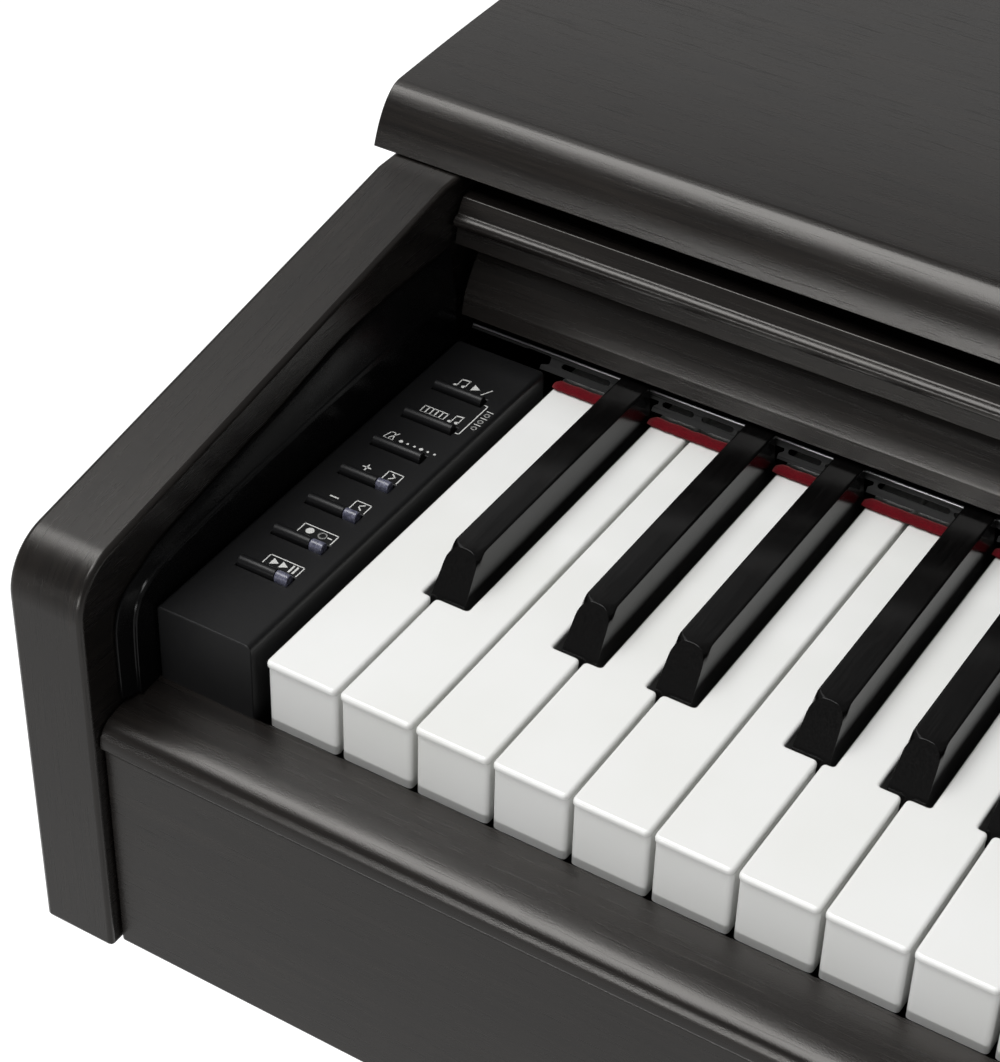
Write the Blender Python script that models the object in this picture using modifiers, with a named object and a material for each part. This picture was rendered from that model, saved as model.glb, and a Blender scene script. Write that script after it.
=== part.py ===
"""Digital piano on a wooden stand: cabinet, 88-note keyboard, sliding key cover,
control panels, folding music rest, legs, feet and a three-pedal box.

World frame in metres: +X to the player's right, +Y to the back, +Z up, with the
origin on the floor under the middle of the instrument.

Most outlines are given in millimetres on the keyboard's own grid, which starts at
the lowest white key's top left front corner: "across" runs right along the keys,
"behind" runs back from the key fronts and "above" rises from the key tops.
"""
import math

import bmesh
import bpy
from mathutils import Matrix, Vector

MM = 0.001

# ---- Driving dimensions ----------------------------------------------------
KEY_PITCH = 23.5            # white key spacing, mm
WHITE_KEYS = 52
KEY_TOP_Z = 739.0           # white key tops over the floor, mm
KEY_FRONT_Y = -182.5        # white key fronts in the world, mm
CABINET_FRONT = -28.5       # side panels' front faces, mm behind the key fronts
CABINET_REAR = 393.5
CABINET_BOTTOM = -107.5     # mm above the key tops
LID_BOTTOM = 58.0
LID_TOP = 76.0
LID_NOSE = 153.0
PANEL_THICKNESS = 24.0
PANEL_INNER = 37.0          # side panel's inner face, mm outside the end keys
LID_OVERHANG = 6.5
BOARD = 12.0                # front and back boards
BED = 15.0                  # key bed
GAP = 0.3                   # between touching pieces
KEY_GAP = 1.2               # between white keys
KEY_LENGTH = 226.0          # whole key lever
NOTCH = 46.75               # white key's wide part
WHITE_DEPTH = 24.0
BLACK_FRONT = 49.0
BLACK_TOP = 11.5
BLACK_END = 145.8           # where the raised part ends
BLACK_WIDTH = 10.8
BUTTON_PITCH = 16.3
PANEL_TOP = 5.0             # control panels' tops
SINGLE_WHITES = 9           # keys with a lever of their own, from the left
SINGLE_BLACKS = 6

KEYBOARD_WIDTH = KEY_PITCH * WHITE_KEYS
MIDDLE = KEYBOARD_WIDTH / 2

# Slots for the black keys, in mm from the left edge of each C
OCTAVE = 7 * KEY_PITCH
BLACK_SLOTS = [(14.0, 29.1), (42.7, 57.4), (83.2, 97.6), (110.2, 124.6), (137.3, 151.8)]
WHITE_NAMES = ["A", "B", "C", "D", "E", "F", "G"]
LOWEST_C = 2 * KEY_PITCH    # left edge of the first C

ASSEMBLY = "digital_piano"
ROSEWOOD = ((0.020, 0.016, 0.015), 0.38, 0.0)
BLACK_PLASTIC = ((0.020, 0.020, 0.021), 0.55, 0.0)
IVORY_WHITE = ((0.86, 0.86, 0.83), 0.22, 0.0)
EBONY_BLACK = ((0.012, 0.012, 0.013), 0.35, 0.0)
RED_FELT = ((0.28, 0.005, 0.015), 0.95, 0.0)
SHEET_METAL = ((0.16, 0.15, 0.15), 0.42, 0.9)
BRASS = ((0.72, 0.52, 0.22), 0.25, 1.0)
STEEL = ((0.55, 0.55, 0.56), 0.30, 1.0)
CIRCUIT_GREEN = ((0.03, 0.16, 0.07), 0.5, 0.0)
SPEAKER_BLACK = ((0.03, 0.03, 0.03), 0.7, 0.0)


# ---- Scene set-up ----------------------------------------------------------
def clear_scene():
    for thing in list(bpy.data.objects):
        bpy.data.objects.remove(thing, do_unlink=True)
    for group in list(bpy.data.collections):
        bpy.data.collections.remove(group)


clear_scene()
parts = bpy.data.collections.new(ASSEMBLY)
cutters = bpy.data.collections.new("cutters")
bpy.context.scene.collection.children.link(parts)
bpy.context.scene.collection.children.link(cutters)


def finish_of(piece, finish):
    colour, roughness, metallic = finish
    material = bpy.data.materials.new(piece.name + "_finish")
    material.use_nodes = True
    shader = material.node_tree.nodes["Principled BSDF"]
    shader.inputs["Base Color"].default_value = (*colour, 1.0)
    shader.inputs["Roughness"].default_value = roughness
    shader.inputs["Metallic"].default_value = metallic
    material.diffuse_color = (*colour, 1.0)
    piece.data.materials.clear()
    piece.data.materials.append(material)


# ---- Places ----------------------------------------------------------------
def across(mm):
    """World X of a place measured right from the lowest key's left edge."""
    return (mm - MIDDLE) * MM


def behind(mm):
    """World Y of a place measured back from the key fronts."""
    return (mm + KEY_FRONT_Y) * MM


def above(mm):
    """World Z of a place measured up from the key tops."""
    return (mm + KEY_TOP_Z) * MM


def mirrored(span):
    """The same span, in mm across, at the other end of the instrument."""
    return (KEYBOARD_WIDTH - span[1], KEYBOARD_WIDTH - span[0])


# ---- Shape tools -----------------------------------------------------------
def new_object(name, mesh, group=parts):
    piece = bpy.data.objects.new(name, mesh)
    group.objects.link(piece)
    if group is cutters:
        piece.hide_render = True
        piece.display_type = "WIRE"
    return piece


def box(name, x, y, z, group=parts):
    """A box from its (low, high) spans in world metres."""
    size = Vector((x[1] - x[0], y[1] - y[0], z[1] - z[0]))
    shape = bmesh.new()
    bmesh.ops.create_cube(shape, size=1.0, matrix=Matrix.Diagonal((*size, 1.0)))
    mesh = bpy.data.meshes.new(name)
    shape.to_mesh(mesh)
    shape.free()
    piece = new_object(name, mesh, group)
    piece.location = Vector((x[0] + x[1], y[0] + y[1], z[0] + z[1])) / 2
    return piece


def grid_box(name, x, y, z, group=parts):
    """A box from spans on the keyboard's grid, in mm."""
    return box(name, [across(v) for v in x], [behind(v) for v in y], [above(v) for v in z], group)


FACING = {
    "x": (math.pi / 2, 0.0, math.pi / 2),
    "y": (math.pi / 2, 0.0, 0.0),
    "z": (0.0, 0.0, 0.0),
}


def plates(name, outlines, facing, span, group=parts):
    """Flat outlines in world metres, as thick as span along the facing axis.

    An outline holds (y, z) pairs for a plate facing x, (x, z) for y, (x, y) for z.
    """
    curve = bpy.data.curves.new(name, "CURVE")
    curve.dimensions = "2D"
    curve.fill_mode = "BOTH"
    curve.extrude = abs(span[1] - span[0]) / 2
    for outline in outlines:
        spline = curve.splines.new("POLY")
        spline.points.add(len(outline) - 1)
        for point, (u, v) in zip(spline.points, outline):
            point.co = (u, v, 0.0, 1.0)
        spline.use_cyclic_u = True
    flat = bpy.data.objects.new(name + "_outline", curve)
    parts.objects.link(flat)
    flat.rotation_euler = FACING[facing]
    flat.location["xyz".index(facing)] = (span[0] + span[1]) / 2
    bpy.context.view_layer.update()
    evaluated = flat.evaluated_get(bpy.context.evaluated_depsgraph_get())
    mesh = bpy.data.meshes.new_from_object(evaluated)
    place = flat.matrix_world.copy()
    bpy.data.objects.remove(flat, do_unlink=True)
    shape = bmesh.new()
    shape.from_mesh(mesh)
    bmesh.ops.remove_doubles(shape, verts=shape.verts, dist=0.00001)
    bmesh.ops.dissolve_limit(shape, angle_limit=0.001, verts=shape.verts, edges=shape.edges)
    bmesh.ops.recalc_face_normals(shape, faces=shape.faces)
    shape.to_mesh(mesh)
    shape.free()
    mesh.name = name
    piece = new_object(name, mesh, group)
    piece.matrix_world = place
    return piece


def plate(name, outline, facing, span, group=parts):
    return plates(name, [outline], facing, span, group)


def profile(name, outline, x, group=parts):
    """A (behind, above) outline in mm, run along the keyboard from x[0] to x[1] mm."""
    points = [(behind(u), above(v)) for u, v in outline]
    return plate(name, points, "x", (across(x[0]), across(x[1])), group)


def turned(name, outline, centre, steps=24):
    """A turned solid about +Z; outline runs (radius, height) in mm from top to bottom."""
    mesh = bpy.data.meshes.new(name)
    points = [(r * MM, 0.0, h * MM) for r, h in outline]
    edges = [(i, i + 1) for i in range(len(points) - 1)]
    mesh.from_pydata(points, edges, [])
    piece = new_object(name, mesh)
    piece.location = centre
    screw = piece.modifiers.new("turn", "SCREW")
    screw.steps = steps
    screw.render_steps = steps
    screw.use_merge_vertices = True
    screw.merge_threshold = 0.00001
    return piece


def cylinder(name, radius, length, centre, along, group=cutters, sides=24):
    shape = bmesh.new()
    bmesh.ops.create_cone(shape, cap_ends=True, segments=sides, radius1=radius,
                          radius2=radius, depth=length)
    mesh = bpy.data.meshes.new(name)
    shape.to_mesh(mesh)
    shape.free()
    piece = new_object(name, mesh, group)
    piece.rotation_euler = {"x": (0, math.pi / 2, 0), "y": (math.pi / 2, 0, 0), "z": (0, 0, 0)}[along]
    piece.location = centre
    return piece


def combine(piece, other, operation="DIFFERENCE"):
    step = piece.modifiers.new(other.name, "BOOLEAN")
    step.operation = operation
    step.solver = "EXACT"
    step.object = other
    return piece


def soften(piece, width, segments=2, angle=35.0):
    """Round the sharp edges by width in mm."""
    edge = piece.modifiers.new("soft edges", "BEVEL")
    edge.width = width * MM
    edge.segments = segments
    edge.limit_method = "ANGLE"
    edge.angle_limit = math.radians(angle)
    edge.use_clamp_overlap = True
    return piece


def arc(centre, radius, start, end, steps):
    """Points along an arc, angles in degrees."""
    points = []
    for i in range(steps + 1):
        turn = math.radians(start + (end - start) * i / steps)
        points.append((centre[0] + radius * math.cos(turn), centre[1] + radius * math.sin(turn)))
    return points


def pivot(name, place):
    """An empty on a joint's axis, which carries the piece that turns about it."""
    empty = bpy.data.objects.new(name, None)
    empty.empty_display_size = 0.01
    parts.objects.link(empty)
    empty.location = place
    return empty


def carry(piece, empty):
    bpy.context.view_layer.update()
    piece.parent = empty
    piece.matrix_parent_inverse = empty.matrix_world.inverted()
    return piece


# ---- Cabinet ---------------------------------------------------------------
INSIDE = (-PANEL_INNER + GAP, KEYBOARD_WIDTH + PANEL_INNER - GAP)
TOP_SLOPE = 0.168
FRONT_CORNER = 17.0
PANEL_CREST = 31.0          # height of the panel's top just behind its front corner


def slope_height(distance, drop=0.0):
    """Height of the side panels' sloping top, or of a line parallel to it."""
    return PANEL_CREST + TOP_SLOPE * (distance + 13.5) - drop


def side_panel_outline():
    corner = arc((CABINET_FRONT + FRONT_CORNER, PANEL_CREST - FRONT_CORNER), FRONT_CORNER, 180, 99.5, 8)
    top = LID_BOTTOM - GAP
    crest_end = (top - PANEL_CREST) / TOP_SLOPE - 13.5
    return [(CABINET_FRONT, CABINET_BOTTOM), *corner, (crest_end, top), (CABINET_REAR, top),
            (CABINET_REAR, CABINET_BOTTOM)]


def side_panels():
    outer = PANEL_INNER + PANEL_THICKNESS
    left = (-outer, -PANEL_INNER)
    for name, span in (("left_side_panel", left), ("right_side_panel", mirrored(left))):
        panel = profile(name, side_panel_outline(), span)
        soften(panel, 1.2)
        finish_of(panel, ROSEWOOD)


def top_board():
    overhang = PANEL_INNER + PANEL_THICKNESS + LID_OVERHANG
    nose = [(LID_NOSE, LID_BOTTOM), (LID_NOSE + 0.6, LID_BOTTOM + 3.0)]
    nose += [(LID_NOSE + 4.0, LID_BOTTOM + 9.0), (LID_NOSE + 8.0, LID_BOTTOM + 13.5)]
    nose += [(LID_NOSE + 13.0, LID_BOTTOM + 16.4), (LID_NOSE + 20.0, LID_TOP)]
    outline = [*nose, (CABINET_REAR, LID_TOP), (CABINET_REAR, LID_BOTTOM)]
    lid = profile("top_board", outline, (-overhang, KEYBOARD_WIDTH + overhang))
    soften(lid, 2.0, angle=50.0)
    finish_of(lid, ROSEWOOD)


SLIP_REAR = -3.0
SLIP_TOP = -20.5
BED_TOP = CABINET_BOTTOM + BED
BOARD_FACE = -24.5
BOARD_BACK = BOARD_FACE + BOARD
SLIP_LIP = -31.2


def front_pieces():
    curve = [(-11.0, SLIP_TOP - 0.5), (-15.3, -24.3), (-19.4, -26.7), (-25.5, -29.0)]
    foot = [(-25.5, SLIP_LIP), (BOARD_BACK + GAP, SLIP_LIP), (BOARD_BACK + GAP, BED_TOP + GAP)]
    slip = profile("key_slip", [(SLIP_REAR, SLIP_TOP), *curve, *foot, (SLIP_REAR, BED_TOP + GAP)], INSIDE)
    soften(slip, 0.6, segments=1, angle=40.0)
    finish_of(slip, ROSEWOOD)
    board = grid_box("front_board", INSIDE, (BOARD_FACE, BOARD_BACK), (CABINET_BOTTOM, SLIP_LIP - GAP))
    soften(board, 0.8)
    finish_of(board, ROSEWOOD)


SPEAKER_PLACES = (120.0, KEYBOARD_WIDTH - 120.0)
SPEAKER_BEHIND = 312.0
SPEAKER_HOLE = 50.0
BACK_FACE = CABINET_REAR - 0.2
JACK_PLATE = (200.0, 290.0)         # across
JACK_HEIGHT = (-72.0, -32.0)        # above


def bed_and_back():
    bed = grid_box("key_bed", INSIDE, (BOARD_BACK + GAP, BACK_FACE), (CABINET_BOTTOM, BED_TOP))
    for number, place in enumerate(SPEAKER_PLACES):
        centre = (across(place), behind(SPEAKER_BEHIND), above(CABINET_BOTTOM + BED / 2))
        combine(bed, cylinder("speaker_hole_%d" % number, SPEAKER_HOLE * MM, 0.04, centre, "z"))
    finish_of(bed, ROSEWOOD)
    back = grid_box("back_board", INSIDE, (BACK_FACE - BOARD, BACK_FACE), (BED_TOP + GAP, LID_BOTTOM - GAP))
    window = grid_box("jack_window", (JACK_PLATE[0] - GAP, JACK_PLATE[1] + GAP), (370.0, 400.0),
                      (JACK_HEIGHT[0] - GAP, JACK_HEIGHT[1] + GAP), cutters)
    combine(back, window)
    finish_of(back, ROSEWOOD)


CHEEK = (-PANEL_INNER + GAP, -33.3)
CHEEK_FRONT = -16.0
CHEEK_REAR = 240.0
CHEEK_LIMIT = 36.2          # the key cover passes over the cheeks above this
CHEEK_DROP = 10.5           # cheek's top below the side panel's


def cheeks():
    corner = arc((CHEEK_FRONT + 13.0, 7.0), 13.0, 180, 99.5, 6)
    level_from = (CHEEK_LIMIT + CHEEK_DROP - PANEL_CREST) / TOP_SLOPE - 13.5
    foot = [(SLIP_REAR + 1.0, SLIP_TOP - 20.0), (SLIP_REAR + 1.0, SLIP_TOP + GAP), (CHEEK_FRONT, SLIP_TOP + 1.5)]
    outline = [*foot, *corner, (10.0, slope_height(10.0, CHEEK_DROP)), (level_from, CHEEK_LIMIT),
               (CHEEK_REAR, CHEEK_LIMIT), (CHEEK_REAR, SLIP_TOP - 20.0)]
    for name, span in (("left_cheek", CHEEK), ("right_cheek", mirrored(CHEEK))):
        finish_of(profile(name, outline, span), BLACK_PLASTIC)


# ---- Key cover -------------------------------------------------------------
RAIL_REAR = 158.0
RAIL_BOTTOM = 13.6
RAIL_STEP = 36.8            # below this the rail is narrower, between the cheeks
COVER_REAR = 345.0
COVER_HEIGHT = (44.0, 54.0)


def key_cover():
    cove = arc((143.5, 26.4), 12.6, -66, 50, 8)
    bead = arc((150.2, 45.2), 2.6, 240, 110, 6)
    crown = [(149.2, 48.6), (150.6, 51.6), (153.0, 53.6), (156.0, 54.4)]
    front = [(148.4, RAIL_BOTTOM), *cove, (150.2, RAIL_STEP - 0.2), (150.2, 42.4), *bead, *crown]
    outline = [*front, (RAIL_REAR, 54.4), (RAIL_REAR, RAIL_BOTTOM)]
    ends = (INSIDE[0] + 0.3, INSIDE[1] - 0.3)
    rail = profile("key_cover_rail", outline, ends)
    left_end = (-60.0, CHEEK[1] + 0.5)
    for name, span in (("rail_relief_left", left_end), ("rail_relief_right", mirrored(left_end))):
        combine(rail, grid_box(name, span, (130.0, 170.0), (0.0, RAIL_STEP), cutters))
    finish_of(rail, ROSEWOOD)
    cover = grid_box("key_cover", ends, (RAIL_REAR + GAP, COVER_REAR), COVER_HEIGHT)
    soften(cover, 1.0)
    finish_of(cover, ROSEWOOD)


# ---- Key frame and felt ----------------------------------------------------
FRAME_REAR = 242.0
FRAME_FOOT = BED_TOP + GAP
FULCRUM_TOP = -WHITE_DEPTH - 1.4


def key_frame():
    """Bent sheet-metal chassis: feet, base, fulcrum ridge, rear wall and front flange."""
    outline = [
        (147.6, 2.4), (152.0, 8.6), (FRAME_REAR, 8.6), (FRAME_REAR, FRAME_FOOT),
        (228.0, FRAME_FOOT), (228.0, -60.0), (24.0, -60.0), (24.0, FRAME_FOOT),
        (12.0, FRAME_FOOT), (12.0, -57.0), (208.0, -57.0), (208.0, FULCRUM_TOP),
        (220.0, FULCRUM_TOP), (220.0, -57.0), (239.0, -57.0), (239.0, 7.0), (152.9, 7.0), (149.2, 2.1),
    ]
    frame = profile("key_frame", outline, (-31.0, KEYBOARD_WIDTH + 31.0))
    left_end = (-60.0, -1.2)
    for name, span in (("frame_relief_left", left_end), ("frame_relief_right", mirrored(left_end))):
        combine(frame, grid_box(name, span, (0.0, 147.3), (-100.0, 20.0), cutters))
        combine(frame, grid_box(name + "_foot", span, (100.0, 300.0), (-100.0, 5.0), cutters))
    finish_of(frame, SHEET_METAL)
    felt = grid_box("key_felt", (0.0, KEYBOARD_WIDTH), (146.2, 151.0), (0.4, 1.8))
    finish_of(felt, RED_FELT)


# ---- Keys ------------------------------------------------------------------
def black_slots():
    """Every black key's slot across the keyboard, from left to right."""
    slots = []
    octave_left = LOWEST_C - OCTAVE
    while octave_left < KEYBOARD_WIDTH:
        for low, high in BLACK_SLOTS:
            if octave_left + low > KEY_PITCH / 2 and octave_left + high < KEYBOARD_WIDTH:
                slots.append((octave_left + low, octave_left + high))
        octave_left += OCTAVE
    return slots


SLOTS = black_slots()


def key_tail(index):
    """The white key's narrow rear part, between its neighbouring black slots."""
    low = index * KEY_PITCH + KEY_GAP / 2
    high = (index + 1) * KEY_PITCH - KEY_GAP / 2
    tail = [low, high]
    for start, end in SLOTS:
        if start < low < end:
            tail[0] = end
        if start < high < end:
            tail[1] = start
    return tail


def white_key_edge(index, rear):
    """The key's outline as (across, behind), from its rear left to its rear right."""
    low = index * KEY_PITCH + KEY_GAP / 2
    high = (index + 1) * KEY_PITCH - KEY_GAP / 2
    left, right = key_tail(index)
    corner = 1.2
    edge = [(left, rear)]
    if left > low:
        edge += [(left, NOTCH), (low, NOTCH)]
    edge += [(low, corner), (low + corner, 0.0), (high - corner, 0.0), (high, corner)]
    if right < high:
        edge += [(high, NOTCH), (right, NOTCH)]
    edge.append((right, rear))
    return edge


WHITE_PIVOT = (214.0, -12.0)
BLACK_PIVOT = (222.0, -5.0)
SHANK = (-9.0, -1.0)        # the black keys' low rear part
WHITE_RAIL_TOP = -11.5
COMB_RAIL = 6.0
BLACK_COMB_RAIL = 3.0


def on_grid(points):
    return [(across(u), behind(v)) for u, v in points]


def key_name(index):
    letter = WHITE_NAMES[index % 7]
    octave = (index + 5) // 7
    return letter, octave


def single_white_keys():
    for index in range(SINGLE_WHITES):
        letter, octave = key_name(index)
        name = "white_key_%s%d" % (letter, octave)
        key = plate(name, on_grid(white_key_edge(index, KEY_LENGTH)), "z",
                    (above(-WHITE_DEPTH), above(0.0)))
        soften(key, 0.5, segments=1)
        middle = (index + 0.5) * KEY_PITCH
        axis = pivot(name + "_pivot", (across(middle), behind(WHITE_PIVOT[0]), above(WHITE_PIVOT[1])))
        carry(key, axis)
        finish_of(key, IVORY_WHITE)


def black_outline(rear):
    """Side view of a black key: sloping front, raised part and low shank."""
    return [(BLACK_FRONT, SHANK[0]), (BLACK_FRONT, 1.0), (BLACK_FRONT + 6.5, BLACK_TOP - 0.8),
            (BLACK_FRONT + 8.5, BLACK_TOP), (BLACK_END, BLACK_TOP), (BLACK_END, SHANK[1]),
            (rear, SHANK[1]), (rear, SHANK[0])]


def single_black_keys():
    names = ["A_sharp_0", "C_sharp_1", "D_sharp_1", "F_sharp_1", "G_sharp_1", "A_sharp_1"]
    for name, slot in zip(names, SLOTS):
        middle = sum(slot) / 2
        span = (middle - BLACK_WIDTH / 2, middle + BLACK_WIDTH / 2)
        key = profile("black_key_" + name, black_outline(KEY_LENGTH), span)
        soften(key, 0.8, segments=1)
        axis = pivot(key.name + "_pivot", (across(middle), behind(BLACK_PIVOT[0]), above(BLACK_PIVOT[1])))
        carry(key, axis)
        finish_of(key, EBONY_BLACK)


def upper_white_keys():
    """All the white keys above the single ones, on one low rear rail."""
    edges = [white_key_edge(index, KEY_LENGTH) for index in range(SINGLE_WHITES, WHITE_KEYS)]
    low = edges[0][0][0]
    high = edges[-1][-1][0]
    comb = grid_box("upper_white_keys", (low, high), (KEY_LENGTH - 4.0, KEY_LENGTH + COMB_RAIL),
                    (0.5 - WHITE_DEPTH, WHITE_RAIL_TOP))
    row = plates("white_key_row", [on_grid(edge) for edge in edges], "z",
                 (above(-WHITE_DEPTH), above(0.0)), cutters)
    combine(comb, row, "UNION")
    axis = pivot("upper_white_keys_pivot", (0.0, behind(WHITE_PIVOT[0]), above(WHITE_PIVOT[1])))
    carry(comb, axis)
    finish_of(comb, IVORY_WHITE)


def upper_black_keys():
    """The remaining black keys: one long run of the key's side view, cut between keys."""
    slots = SLOTS[SINGLE_BLACKS:]
    spans = [((low + high - BLACK_WIDTH) / 2, (low + high + BLACK_WIDTH) / 2) for low, high in slots]
    rail_front = KEY_LENGTH + COMB_RAIL + 1.0
    run = profile("upper_black_keys", black_outline(rail_front + BLACK_COMB_RAIL), (spans[0][0], spans[-1][1]))
    gaps = []
    for (_, left), (right, _) in zip(spans, spans[1:]):
        gaps.append(on_grid([(left, 40.0), (right, 40.0), (right, rail_front), (left, rail_front)]))
    combine(run, plates("between_black_keys", gaps, "z", (above(-30.0), above(30.0)), cutters))
    axis = pivot("upper_black_keys_pivot", (0.0, behind(BLACK_PIVOT[0]), above(BLACK_PIVOT[1])))
    carry(run, axis)
    finish_of(run, EBONY_BLACK)


# ---- Control panels --------------------------------------------------------
LEFT_CONTROL = (-33.0, -2.2)
CONTROL_DEPTH = (-2.4, 146.6)
CONTROL_WALL = 3.0
BUTTON_CENTRE = -17.3
FIRST_BUTTON = 25.2
BUTTON_LENGTH = 16.5
BUTTON_WIDTH = 3.4
BUTTON_STEM = 9.0
BUTTON_RISE = 2.2
BUTTON_PLAY = 0.4
BUTTON_NAMES = ["play_button", "record_button", "minus_button", "plus_button",
                "metronome_button", "voice_button", "demo_button"]


def control_shell(name, span):
    shell = grid_box(name, span, CONTROL_DEPTH, (FRAME_FOOT, PANEL_TOP))
    soften(shell, 1.6)
    inner_x = (span[0] + CONTROL_WALL, span[1] - CONTROL_WALL)
    inner_y = (CONTROL_DEPTH[0] + CONTROL_WALL, CONTROL_DEPTH[1] - CONTROL_WALL)
    combine(shell, grid_box(name + "_hollow", inner_x, inner_y, (-120.0, PANEL_TOP - CONTROL_WALL), cutters))
    finish_of(shell, BLACK_PLASTIC)
    return shell


def button_outline(half):
    """Across-section of a bar button with a half-round top."""
    top = PANEL_TOP + BUTTON_RISE
    crown = arc((0.0, top - half), half, 180, 0, 6)
    return [(-half, PANEL_TOP - BUTTON_STEM), *crown, (half, PANEL_TOP - BUTTON_STEM)]


def left_controls():
    shell = control_shell("left_control_panel", LEFT_CONTROL)
    half_length = BUTTON_LENGTH / 2
    span = (BUTTON_CENTRE - half_length, BUTTON_CENTRE + half_length)
    hole_x = (span[0] - BUTTON_PLAY, span[1] + BUTTON_PLAY)
    for number, name in enumerate(BUTTON_NAMES):
        middle = FIRST_BUTTON + number * BUTTON_PITCH
        half = BUTTON_WIDTH / 2
        outline = [(middle + u, v) for u, v in button_outline(half)]
        finish_of(profile(name, outline, span), BLACK_PLASTIC)
        hole_y = (middle - half - BUTTON_PLAY, middle + half + BUTTON_PLAY)
        combine(shell, grid_box(name + "_hole", hole_x, hole_y, (-4.0, 12.0), cutters))


SLIDER_TRAVEL = 36.0
SLIDER_MIDDLE = 78.0
POWER_MIDDLE = 122.0


def right_controls():
    span = mirrored(LEFT_CONTROL)
    shell = control_shell("right_control_panel", span)
    middle = sum(span) / 2
    power_x = (middle - 6.0, middle + 6.0)
    power_y = (POWER_MIDDLE - 4.5, POWER_MIDDLE + 4.5)
    power = grid_box("power_button", power_x, power_y, (PANEL_TOP - BUTTON_STEM, PANEL_TOP + 1.6))
    soften(power, 0.7)
    finish_of(power, BLACK_PLASTIC)
    combine(shell, grid_box("power_hole", (power_x[0] - BUTTON_PLAY, power_x[1] + BUTTON_PLAY),
                            (power_y[0] - BUTTON_PLAY, power_y[1] + BUTTON_PLAY), (-4.0, 12.0), cutters))
    stem = (middle - 1.2, middle + 1.2)
    reach = SLIDER_TRAVEL / 2 + 5.0
    combine(shell, grid_box("slider_slot", (stem[0] - 0.5, stem[1] + 0.5),
                            (SLIDER_MIDDLE - reach, SLIDER_MIDDLE + reach), (-4.0, 12.0), cutters))
    slider = grid_box("volume_slider", (middle - 6.0, middle + 6.0), (SLIDER_MIDDLE - 4.0, SLIDER_MIDDLE + 4.0),
                      (PANEL_TOP + GAP, PANEL_TOP + 5.5))
    soften(slider, 0.9)
    combine(slider, grid_box("slider_stem", stem, (SLIDER_MIDDLE - 3.5, SLIDER_MIDDLE + 3.5),
                             (PANEL_TOP - 8.0, PANEL_TOP + 2.0), cutters), "UNION")
    finish_of(slider, BLACK_PLASTIC)


# ---- Inside ----------------------------------------------------------------
def speakers():
    outline = [(0.0, 56.0), (40.0, 56.0), (40.0, 42.0), (25.0, 40.0), (54.0, 8.0), (62.0, 5.5),
               (62.0, 0.0), (49.0, 0.0), (20.0, 26.0), (0.0, 28.0)]
    for name, place in zip(("left_speaker", "right_speaker"), SPEAKER_PLACES):
        centre = (across(place), behind(SPEAKER_BEHIND), above(BED_TOP + GAP))
        finish_of(turned(name, outline, centre), SPEAKER_BLACK)


def circuit_board():
    board = grid_box("main_circuit_board", (480.0, 740.0), (256.0, 366.0), (-84.0, -82.0))
    extras = [("heat_sink", (500.0, 540.0), (270.0, 350.0), (-83.0, -62.0)),
              ("power_section", (560.0, 600.0), (268.0, 300.0), (-83.0, -68.0)),
              ("processor", (630.0, 660.0), (300.0, 330.0), (-83.0, -79.0)),
              ("connector_row", (690.0, 732.0), (344.0, 360.0), (-83.0, -73.0))]
    for x in (484.0, 728.0):
        for y in (259.0, 355.0):
            extras.append(("standoff", (x, x + 8.0), (y, y + 8.0), (BED_TOP + GAP, -83.0)))
    for name, x, y, z in extras:
        combine(board, grid_box(name, x, y, z, cutters), "UNION")
    finish_of(board, CIRCUIT_GREEN)


USB_SPAN = (218.0, 230.0)
POWER_INLET = (262.0, -52.0)
INLET_RADIUS = 3.4
SOCKET_DEPTH = 10.0


def jack_panel():
    plate_front = BACK_FACE - 14.0
    panel = grid_box("jack_panel", JACK_PLATE, (plate_front, BACK_FACE), JACK_HEIGHT)
    soften(panel, 0.6, segments=1)
    rear = (BACK_FACE - SOCKET_DEPTH, BACK_FACE + 5.0)
    combine(panel, grid_box("usb_socket", USB_SPAN, rear, (-57.5, -46.5), cutters))
    centre = (across(POWER_INLET[0]), behind(sum(rear) / 2), above(POWER_INLET[1]))
    combine(panel, cylinder("power_inlet", INLET_RADIUS * MM, (rear[1] - rear[0]) * MM, centre, "y"))
    finish_of(panel, BLACK_PLASTIC)


HEADPHONE_BOX = (12.0, 88.0)
HEADPHONE_FRONT = 2.0
HEADPHONE_HEIGHT = (-138.0, CABINET_BOTTOM - GAP)
HEADPHONE_JACKS = (34.0, 66.0)
JACK_RADIUS = 3.4
HOOK_SPAN = (104.0, 122.0)


def headphone_pieces():
    case = grid_box("headphone_box", HEADPHONE_BOX, (HEADPHONE_FRONT, 62.0), HEADPHONE_HEIGHT)
    soften(case, 2.5)
    for place in HEADPHONE_JACKS:
        centre = (across(place), behind(HEADPHONE_FRONT + 15.0), above(-122.0))
        combine(case, cylinder("headphone_jack_%d" % place, JACK_RADIUS * MM, 0.04, centre, "y"))
    finish_of(case, BLACK_PLASTIC)
    top = CABINET_BOTTOM - GAP
    outline = [(4.0, top), (46.0, top), (46.0, top - 46.0), (4.0, top - 46.0), (4.0, top - 32.0),
               (7.0, top - 32.0), (7.0, top - 43.0), (43.0, top - 43.0), (43.0, top - 3.0), (4.0, top - 3.0)]
    finish_of(profile("headphone_hook", outline, HOOK_SPAN), STEEL)


# ---- Music rest ------------------------------------------------------------
LID_Z = KEY_TOP_Z + LID_TOP
REST_HALF = 0.31
REST_AXIS = (0.014, (LID_Z + 9.0) * MM)
REST_REACH = 0.200
REST_UNDER = (LID_Z + 7.0) * MM
REST_TOP = (LID_Z + 17.0) * MM
LIP_TOP = (LID_Z + 33.0) * MM
STAY_OFFSET = 0.085
STAY_LENGTH = 0.095
STAY_THICKNESS = 0.0024
STAY_PLACE = 0.20


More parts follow.
